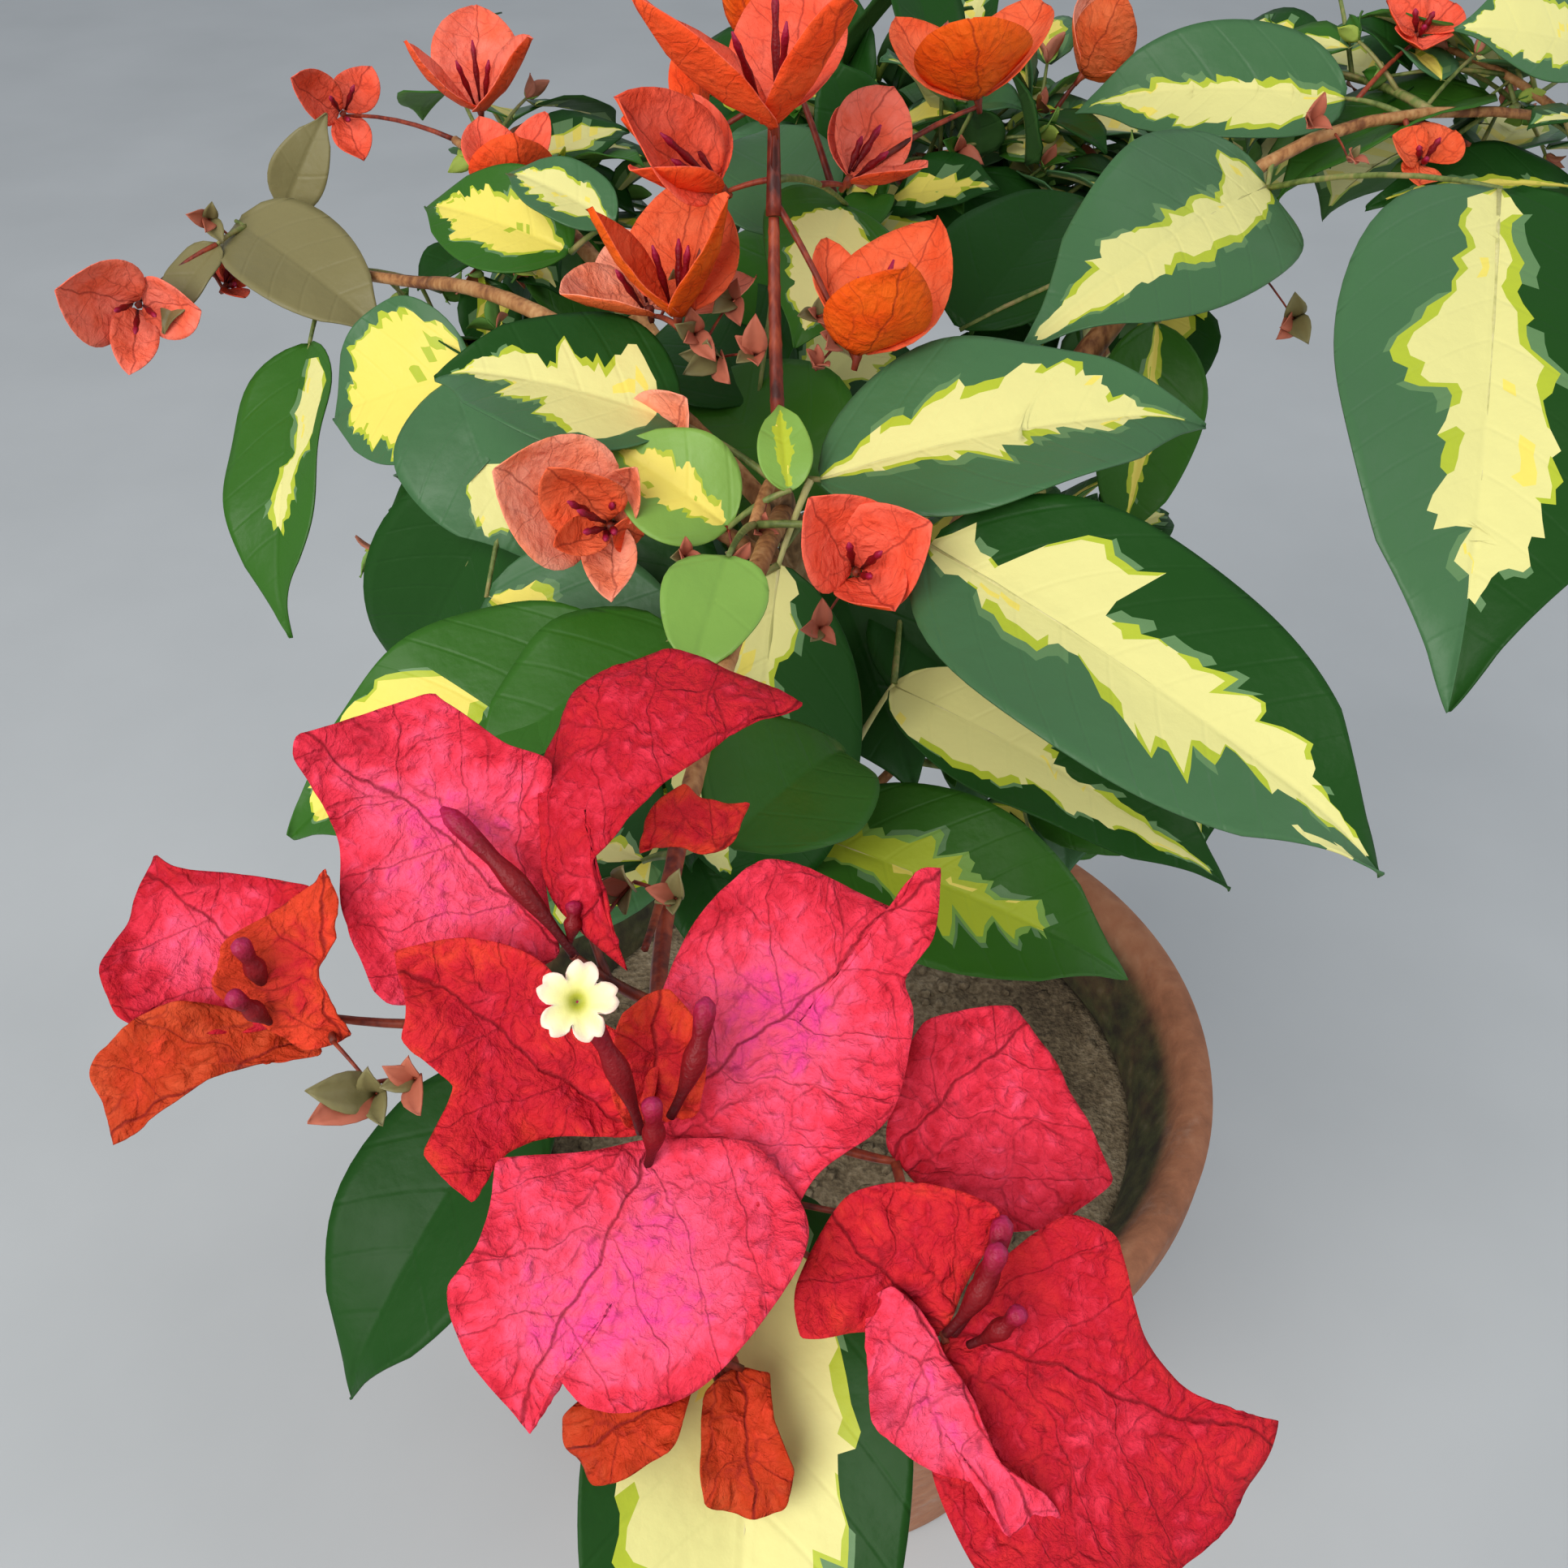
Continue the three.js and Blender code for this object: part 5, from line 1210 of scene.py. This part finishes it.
# A sprig of tiny young leaves at the end of a twig
def addSprig(at, aim, count, lengths, colors, draw):
    at, aim, form = np.array(at, float), unit(np.array(aim, float)), sprigForm
    across = unit(np.cross(aim, [0.2, 0.3, 0.9]))
    over = np.cross(aim, across)
    for k in range(count):
        turn = k * goldenAngle + draw(-form["stray"], form["stray"])
        ray = across * math.cos(turn) + over * math.sin(turn)
        length = draw(*lengths)
        tip = at + unit(aim + ray * draw(*form["spread"])) * length
        color = colors[int(draw(0, len(colors) - 0.001))]
        addSmallBlade(budHeap, smallGrid, at, tip, aim - form["fold"] * ray, form["width"] * length,
                      form["arch"], form["cup"], leafForm, leafSlot[color])


heroForm = {"steps": 8, "leastHalf": 8.0, "folds": (1.5, 9), "wrinkles": (0.8, 4), "creases": (0.7, 2.4),
            "edgeWaves": ((0.9, 4), (0.6, 9)), "midrib": (0.9, 1.6), "cup": 1.6, "middleShare": 0.35,
            "edgeShare": 0.65, "edgePower": 3, "tintPower": 1.6, "tintShare": 0.25}
corner = {"soft": 1.35, "degrees": 75}  # a corner is sharp from about 100 degrees on
# The large bracts' shared map: its cells on a side, and each cell's middle, size and edges
atlasForm = {"side": 4, "middle": [20, 0], "cell": 72, "within": (0.02, 0.98)}


# A closed line through the outline's points, smooth but for its sharp corners, and always one way round
def smoothRing(points, steps):
    points = np.array(points, float)
    turned = np.roll(points, -1, axis=0)
    if np.sum(points[:, 0] * turned[:, 1] - points[:, 1] * turned[:, 0]) < 0:
        points = points[::-1]
    before, after = points - np.roll(points, 1, axis=0), np.roll(points, -1, axis=0) - points
    turn = np.arctan2(np.cross(before, after), np.sum(before * after, axis=1))
    soft = np.clip(corner["soft"] - abs(np.degrees(turn)) / corner["degrees"], 0, 1)[:, None]
    slope = 0.5 * soft * (before + after)
    ring = []
    for i in range(len(points)):
        b, c = points[i], points[(i + 1) % len(points)]
        for t in np.linspace(0, 1, steps, endpoint=False):
            bow = slope[i] * t * (1 - t) ** 2 - slope[(i + 1) % len(points)] * t * t * (1 - t)
            ring.append(b + (c - b) * t * t * (3 - 2 * t) + bow)
    return np.array(ring)


# How far the crumples lift a point of a bract
def crumpleAt(x, y, phase):
    folds, wrinkles, creases = heroForm["folds"], heroForm["wrinkles"], heroForm["creases"]
    lift = folds[0] * noise.noise((x / folds[1] + phase, y / folds[1], phase))
    lift += wrinkles[0] * noise.noise((x / wrinkles[1], y / wrinkles[1] + phase, 2))
    return lift + creases[0] * abs(noise.noise((x / creases[1], y / creases[1], phase)))


def addHeroBract(base, tip, face, arch, name, tints, cup, draw):
    base, length, along, normal, side = bladeFrame(base, tip, face)
    form, radius, angle = heroForm, heroDisc["radius"], heroDisc["angle"]
    middle, ring = np.array(outlines[name][0], float), smoothRing(outlines[name][1:], form["steps"])
    gaps = np.linalg.norm(np.diff(ring, axis=0, append=ring[:1]), axis=1)
    around = np.concatenate([[0], np.cumsum(gaps)]) / gaps.sum()
    angles = np.arctan2(ring[:, 1] - middle[1], ring[:, 0] - middle[0])
    share = (angle / (2 * math.pi) + around[int(np.argmin(abs(angles)))]) % 1
    closed = np.vstack([ring, ring[:1]])
    edge = np.stack([np.interp(share, around, closed[:, i]) for i in (0, 1)], 1)
    flat = middle + radius[:, None] * (edge - middle)
    x, y = flat.T
    half = max(form["leastHalf"], np.abs(ring[:, 1]).max())
    t = np.clip(x / length, 0, 1)
    phase = draw(0, 50)
    crumple = np.array([crumpleAt(a, b, phase) for a, b in flat])
    (high, waves), (low, ripples) = form["edgeWaves"]
    edgeWave = high * np.sin(angle * waves + phase) + low * np.sin(angle * ripples + 2 * phase)
    crease = form["midrib"][0] * np.exp(-(y / form["midrib"][1]) ** 2)
    lift = 4 * arch * length * t * (1 - t) + cup * y * y / half * form["cup"]
    lift = lift + crumple * (form["middleShare"] + form["edgeShare"] * radius)
    lift = lift + edgeWave * radius ** form["edgePower"] - crease * np.clip(1 - t, 0, 1)
    points = base + np.multiply.outer(x, along) + np.multiply.outer(y, side) + np.multiply.outer(lift, normal)
    tint = mix(*tints, np.clip(radius ** form["tintPower"] + form["tintShare"] * crumple, 0, 1))
    row, column = divmod(len(heroBracts.points), atlasForm["side"])
    cell = np.clip((flat - atlasForm["middle"]) / atlasForm["cell"] + 0.5, *atlasForm["within"])
    heroBracts.add(heroDisc, points, 0, flat / mapUnit, tint, (cell + [column, row]) / atlasForm["side"])


# The growth of one mass
def stemCurve(mass):
    heart = Vector(mass["heart"])
    onTrunk = mass["on"] == "trunk"
    carrier = trunkCurve if onTrunk else boughCurves[mass["on"]]
    share = mass["at"] if onTrunk else 1
    foot = carrier(share)
    ahead = (heart - foot).normalized() if onTrunk and share < 1 else heading(carrier, 1)
    foot = foot + ahead * gap
    return quadratic(foot, foot + ahead * rule["stemBend"] * (heart - foot).length, heart)


def scaled(mass, point, fromMiddle=True):
    offset = Vector(point) - Vector(mass["middle"]) if fromMiddle else Vector(point)
    return Vector(a / b for a, b in zip(offset, mass["reach"]))


def roomAlong(mass, start, aim):
    p, d = scaled(mass, start), scaled(mass, aim, False)
    b = p.dot(d)
    c = min(p.length_squared - 1, 0)
    return (-b + math.sqrt(b * b - d.length_squared * c)) / d.length_squared


def inSpace(mass, point):
    return scaled(mass, point).length <= 1


def growLeaf(mass, start, end, aim, share, index, draw, lengths=None):
    out = mix(*rule["shootShare"], share)
    base = start.lerp(end, out)
    base.z += rule["lift"] / 2 * (end - start).length * (1 - abs(2 * out - 1))
    across = Vector((0, 0, 1)).cross(aim).normalized()
    across.rotate(Matrix.Rotation(index * goldenAngle + draw(-rule["stray"], rule["stray"]), 3, aim))
    along = aim * mix(*rule["ahead"], share) + across * rule["aside"]
    along.z -= rule["droop"]
    length = mix(*(lengths or mass["leaf"]), draw()) * mix(*rule["shrink"], share)
    face = Vector((0.5 * aim.x, 0.5 * aim.y, 1))
    face.x += draw(-rule["faceStray"], rule["faceStray"])
    face.y += draw(-rule["faceStray"], rule["faceStray"])
    return {"base": base, "tip": base + along.normalized() * length, "width": rule["width"] * length,
            "face": face, "arch": mix(*rule["arch"], draw())}


def growShoots(mass, stem):
    draw, shoots = seeded(mass["seed"]), []
    for i in range(mass["shoots"]):
        start = stem(mix(*rule["stemShare"], (i + 1) / mass["shoots"]))
        share = (i * rule["turnStep"] + rule["firstTurn"]) % 1
        turn = math.radians(mass["facing"] + mass["span"] * (share - 0.5))
        rise = math.radians(mix(*mass["rise"], draw()))
        aim = Vector((math.cos(turn) * math.cos(rise), math.sin(turn) * math.cos(rise), math.sin(rise)))
        length = mix(*rule["shootReach"], draw()) * roomAlong(mass, start, aim)
        end = start + aim * length
        count = mass["leaves"]
        leaves = [growLeaf(mass, start, end, aim, (j + 1) / count, j, draw) for j in range(count)]
        shoots.append((start, end, aim, leaves, i < mass["florets"], 360 * draw()))
    return shoots


# Colours dealt out by spray
def dealLook(draw):
    color = ("deepGreen", "deepGreen", "blueGreen", "deepGreen", "freshGreen")[int(draw(0, 4.999))]
    band = ("feather", "plain", "feather", "half", "plain", "centre", "plain")[int(draw(0, 6.999))]
    return {"color": color, "band": band, "bandColor": "cream" if draw() < 0.72 else "yellow"}


def inPicture(point):
    tilt = math.radians(view["down"])
    away = Vector(point) - Vector(view["place"])
    depth = away.y * math.cos(tilt) - away.z * math.sin(tilt)
    up = away.y * math.sin(tilt) + away.z * math.cos(tilt)
    half = view["frame"] / 2
    return half + view["focal"] * away.x / depth, half - view["focal"] * up / depth, depth


def within(spot, box):
    return box[0] < spot[0] < box[2] and box[1] < spot[1] < box[3]


# The discs of the frame that the photo's own leaves and bracts cover: column, row, depth and radius
def shownDiscs():
    lines, discs = [], []
    for shown in named.values():
        lines += [entry[:3] for kind in ("leaf", "bract") for entry in shown.get(kind, ())]
        lines += [(at, tip, width) for at, _, _, bracts in shown.get("cup", ()) for tip, width in bracts]
    for base, tip, width in lines:
        for share, size in ((0.05, 0.25), (0.25, 0.5), (0.45, 0.5), (0.65, 0.5), (0.85, 0.25)):
            spot = inPicture(Vector(base).lerp(Vector(tip), share))
            discs.append((*spot, size * width * view["focal"] / spot[2]))
    return np.array(discs)


discs = shownDiscs()


def isOpen(*points):
    for point in points:
        spot = inPicture(point)
        if any(within(spot, box) for box in openParts + [youngParts]):
            return True
        if within(spot, cluster["box"]) and spot[2] < cluster["depth"]:
            return True
        beside = np.hypot(discs[:, 0] - spot[0], discs[:, 1] - spot[1]) < discs[:, 3] + view["clear"]
        if (beside & (discs[:, 2] > spot[2])).any():
            return True
    return False


middles = []


def leafOpen(leaf):
    base, tip = Vector(leaf["base"]), Vector(leaf["tip"])
    return isOpen(*[base.lerp(tip, share) for share in (0, 0.25, 0.5, 0.75, 1)])


def roomFor(leaf):
    length = (Vector(leaf["tip"]) - Vector(leaf["base"])).length
    middle = (Vector(leaf["tip"]) + Vector(leaf["base"])) / 2
    if any((middle - other).length < finer["apart"] * (length + size) for other, size in middles):
        return False
    middles.append((middle, length))
    return True


def midribClear(leaf):
    base, tip = np.array(leaf["base"], float), np.array(leaf["tip"], float)
    return curveClear(lambda t: base + (tip - base) * t, limbRoom["leaf"])


# A grown leaf, where it stays in its mass, off the photo's open parts and off limbs and other leaves
def tryLeaf(heap, mass, leaf, stalk, draw):
    leaf.update(dealLook(draw), stalk=stalk)
    if inSpace(mass, leaf["tip"]) and not leafOpen(leaf) and midribClear(leaf) and roomFor(leaf):
        addLeaf(heap, leafGrid, leaf, draw)


def growMass(name, mass):
    stem = stemCurve(mass)
    twigs = [stem]
    shares = np.linspace(0, 1, twigTube["steps"] + 1)
    bark = red if name in ("foliage_front", "foliage_top") else cane
    addTube(twigHeap, twigTube, [stem(t) for t in shares], mix(*rule["stem"], shares), bark)
    draw = seeded(mass["seed"] + 1000)

    def reachFor(point, radius, slot=red, lift=rule["lift"]):
        point = Vector(point)
        if any((curve(1) - point).length < rule["reached"] for curve in twigs):
            return
        starts = [curve(t) for curve in twigs for t in (0.2, 0.4, 0.6, 0.8, 1)]
        near = [start for start in starts if (start - point).length > rule["leastStalk"]]
        near.sort(key=lambda start: (start - point).length)
        ends = [point + (point - start).normalized() * rule["into"] for start in near]
        curves = [twigCurve(start, end, lift) for start, end in zip(near, ends)]
        clear = (curve for curve in curves if curveClear(curve, limbRoom["twig"]))
        curve = next(clear, curves[0])  # the shortest that passes no limb, or else the shortest of all
        twigs.append(curve)
        addTwig(curve, radius, slot)

    def placeArm(at, radius):
        reachFor(at, radius, lift=rule["armLift"])

    def placeLeaf(base, tip, width, face, arch, color, band="plain", bandColor="cream"):
        reachFor(base, stalkRadii["leaf"], pale if band in paleStalks else green)
        leaf = {"base": base, "tip": tip, "width": width, "face": face, "arch": arch, "color": color,
                "band": band, "bandColor": bandColor}
        roomFor(leaf)
        grid, stalkSlot = (plainGrid, green) if band == "plain" else (heroGrid, pale)
        addLeaf(namedLeaves, grid, leaf, draw, stalkSlot)

    def placeBract(base, tip, width, *rest):  # the width is only what shownDiscs reads
        reachFor(base, stalkRadii["bract"])
        addHeroBract(base, tip, *rest, draw)

    def placeCup(at, face, color, bracts):
        reachFor(Vector(at) - 2 * Vector(face).normalized(), stalkRadii["cup"])
        addCup(at, face, color, bracts, draw)

    def placeFloret(at, face, size, spin, color):
        reachFor(Vector(at) - Vector(face).normalized() * floretForm["back"], stalkRadii["floret"])
        addFloret(at, face, size, spin, color, draw)

    def placeBud(at, size):
        reachFor(at, stalkRadii["bud"])
        aim = (draw(-0.4, 0.4), draw(-0.9, -0.3), draw(0.1, 0.8))
        addSprig(at, aim, 4, (0.7 * size, 1.2 * size), ("budRose", "budRose", "oliveBrown"), draw)

    places = {"arm": placeArm, "leaf": placeLeaf, "bract": placeBract, "cup": placeCup, "floret": placeFloret,
              "bud": placeBud}
    for kind, place in places.items():
        for entry in named.get(name, {}).get(kind, ()):
            place(*entry)

    heap = rightLeaves if "right" in name else backLeaves if "back" in name else frontLeaves
    for start, end, aim, leaves, blooms, spin in growShoots(mass, stem):
        curve = twigCurve(start, end)
        if not curveClear(curve, limbRoom["twig"]) or isOpen(curve(0.6), curve(1)):
            continue
        addTwig(curve, rule["shoot"], (cane, green, red, cane)[int(draw(0, 3.999))])
        twigs.append(curve)
        for leaf in leaves:
            tryLeaf(heap, mass, leaf, rule["leafStalk"], draw)
        growFiner(mass, curve, aim, heap, draw)
        at = end + aim * rule["bloomAhead"]
        at.z += rule["bloomLift"]
        if blooms and not within(inPicture(at), shownBlooms) and not isOpen(at):
            face = aim + Vector((0, 0, 0.5))
            reachFor(at - face.normalized() * 3, stalkRadii["bloom"])
            color = ("vermilion", "orange", "coral", "salmon")[int(draw(0, 3.999))]
            addFloret(at, face, rule["bloomSize"], spin, color, draw)
        else:
            colors = ("youngGreen", "budRose", "freshGreen")
            addSprig(end, aim, finer["sprigs"], finer["sprigLeaf"], colors, draw)


def growFiner(mass, curve, aim, heap, draw):
    for k in range(finer["twigs"]):
        share = mix(*finer["share"], (k + 0.5) / finer["twigs"])
        start = curve(share)
        across = Vector((0, 0, 1)).cross(aim).normalized()
        turn = k * goldenAngle + finer["firstTurn"] + draw(-rule["stray"], rule["stray"])
        across.rotate(Matrix.Rotation(turn, 3, aim))
        way = (aim * finer["ahead"] + across * finer["aside"] + Vector((0, 0, finer["rise"]))).normalized()
        end = start + way * draw(*finer["reach"])
        clear = clearOfLimbs([start.lerp(end, t) for t in (0.4, 0.7, 1)], limbRoom["finer"])
        if not inSpace(mass, end) or not clear or isOpen(end):
            continue
        addTwig(twigCurve(start, end), finer["radius"], green, fineTube)
        for j in range(finer["leaves"]):
            leaf = growLeaf(mass, start, end, way, (j + 1) / finer["leaves"], j, draw, finer["leaf"])
            tryLeaf(heap, mass, leaf, finer["leafStalk"], draw)
        colors = ("youngGreen", "freshGreen", "budRose", "limeEdge")
        addSprig(end, way, finer["sprigs"], finer["sprigLeaf"], colors, draw)


for name, mass in masses.items():
    growMass(name, mass)
print("foliage grown")

# The tubes of the large flowers, their stalks and buds, and the one open flower
flowerTubes = {
    "upperLeft": [(-48, -190, 467), (-66, -178, 484)], "open": [(-38, -212, 457), (-45, -207.5, 478.6)],
    "right": [(-34, -211, 459), (-29, -204, 475)], "front": [(-37, -215, 454), (-36, -214, 467)],
    "stub": [(-49, -189, 468), (-48, -186, 474)], "leftUpper": [(-90, -195, 465), (-91, -196, 477)],
    "leftLower": [(-89, -198, 462), (-92, -201, 472)], "lowRight": [(2, -232, 441), (8, -228, 456)],
    "lowRightNear": [(3, -232, 441), (9, -224, 456)], "lowRightShort": [(5, -233, 440), (11, -233, 449)],
}
stalks = {
    "peduncle": [(-37, -150, 450), (-39, -184, 462), 0.95], "right": [(-36, -214, 451), (-2, -219, 446), 0.6],
    "rightLow": [(-35, -214, 452), (1, -230, 439), 0.6],
}


def makeFlowers():
    for start, end in flowerTubes.values():
        size = min(1.0, (Vector(end) - Vector(start)).length / 15)
        addFlowerTube(heroTube, start, end, mix(0.6, 1, size), 1.0)
    for start, end, radius in stalks.values():
        addTwig(twigCurve(start, end, rule["flowerLift"]), radius, red)


def makeOpenFlower():
    flower = {"at": (-44.7, -208.8, 479.8), "face": (0.13, -0.65, 0.75), "radius": 5.4, "funnel": 1.6}
    disc = discTemplate(20)
    out = unit(np.array(flower["face"]))
    right = unit(np.cross([0, 0, 1.0], out))
    up = np.cross(out, right)
    angle, radius = disc["angle"], disc["radius"]
    lobes = 0.52 + 0.48 * abs(np.cos(2.5 * angle)) ** 0.6 - 0.12 * np.clip(np.cos(5 * angle), 0, 1) ** 9
    reach = flower["radius"] * radius * mix(0.8, lobes, radius ** 2)
    lift = -flower["funnel"] * (1 - radius) ** 3 + 0.35 * np.sin(10 * angle) * radius ** 3 + 0.5 * radius ** 2
    points = np.array(flower["at"]) + np.multiply.outer(reach * np.cos(angle), right)
    points = points + np.multiply.outer(reach * np.sin(angle), up) + np.multiply.outer(lift, out)
    openFlower.add(disc, points, 0, tint=radius)
    openFlower.piece("open_flower", [petalMaterial()], "foliage", thickness=0.18)


makeFlowers()
makeOpenFlower()
backs = len(leafColors)
leafPieces = {
    "leaves_large": (namedLeaves, ["foliage_crown", "foliage_low_front", "foliage_left"]),
    "leaves_front": (frontLeaves, ["foliage_far_left", "foliage_low_left"]),
    "leaves_back": (backLeaves, ["foliage_back", "foliage_back_left"]),
    "leaves_right": (rightLeaves, ["foliage_right", "foliage_back_right", "foliage_low_right"]),
}
for name, (heap, nodes) in leafPieces.items():
    heap.piece(name, leafMaterials, "foliage", nodes, thickness=leafForm["thickness"], backOffset=backs)
budHeap.piece("bud_leaves", leafMaterials, "foliage", thickness=leafForm["budThickness"], backOffset=backs)
heroBracts.piece("large_bracts", [heroBractMaterial()], "foliage", ["foliage_front"],
                 thickness=bractForm["thickness"])
bractMaterials = [bractMaterial("bract_" + name, inner) for name, (inner, outer) in bractColors.items()]
bractMaterials += [bractMaterial("bract_back_" + name, outer) for name, (inner, outer) in bractColors.items()]
floretBracts.piece("small_bracts", bractMaterials, "foliage", ["foliage_top"],
                   thickness=bractForm["thickness"], backOffset=len(bractColors))
tubeHeap.piece("flower_tubes", [tubeMaterial()], "foliage")
twigHeap.piece("twigs", twigMaterials, "foliage")
print("leaves, bracts, flowers and twigs joined")


# Floor, light and camera
def makeFloor():
    bm = bmesh.new()
    bmesh.ops.create_grid(bm, x_segments=1, y_segments=1, size=30)
    floor = bpy.data.objects.new("floor", meshOf(bm, "floor"))
    bpy.context.scene.collection.objects.link(floor)
    material, tree, shader = newMaterial("pale_floor", 0.8)
    patch = cloud(tree, objectPlace(tree), scale=6.0, detail=6.0)
    paint(tree, shader, ramp(tree, patch, [(0.3, (0.44, 0.455, 0.46)), (0.7, (0.48, 0.495, 0.50))]))
    floor.data.materials.append(material)


def makeLight(name, place, aim, size, watts, color):
    light = bpy.data.lights.new(name, "AREA")
    light.size, light.energy, light.color = size, watts, color
    lamp = bpy.data.objects.new(name, light)
    lamp.location = place
    lamp.rotation_euler = (Vector(aim) - Vector(place)).to_track_quat("-Z", "Y").to_euler()
    bpy.context.scene.collection.objects.link(lamp)


lights = {
    "front_panel": {"place": (-1.0, -1.5, 1.6), "aim": (0, -0.05, 0.35), "size": 1.8, "watts": 52,
                    "color": (1.0, 0.98, 0.94)},
    "side_panel": {"place": (1.7, -0.2, 1.1), "aim": (0, 0, 0.35), "size": 1.6, "watts": 10,
                   "color": (0.95, 0.98, 1.0)},
}
sky = {"Color": (0.86, 0.92, 1.0, 1), "Strength": 0.55}


def makeStudio():
    world = bpy.data.worlds.new("studio")
    world.use_nodes = True
    for key, value in sky.items():
        world.node_tree.nodes["Background"].inputs[key].default_value = value
    bpy.context.scene.world = world
    for name, look in lights.items():
        makeLight(name, **look)
    bpy.context.scene.view_settings.view_transform = "Standard"


def makeCamera():
    data = bpy.data.cameras.new("camera")
    data.sensor_width = view["sensor"]
    data.lens = view["sensor"] * view["focal"] / view["frame"]
    data.clip_start = 0.01
    camera = bpy.data.objects.new("camera", data)
    camera.location = Vector(view["place"]) * metre
    camera.rotation_euler = (math.radians(90 - view["down"]), 0, 0)
    bpy.context.scene.collection.objects.link(camera)
    bpy.context.scene.camera = camera


makeFloor()
makeStudio()
makeCamera()
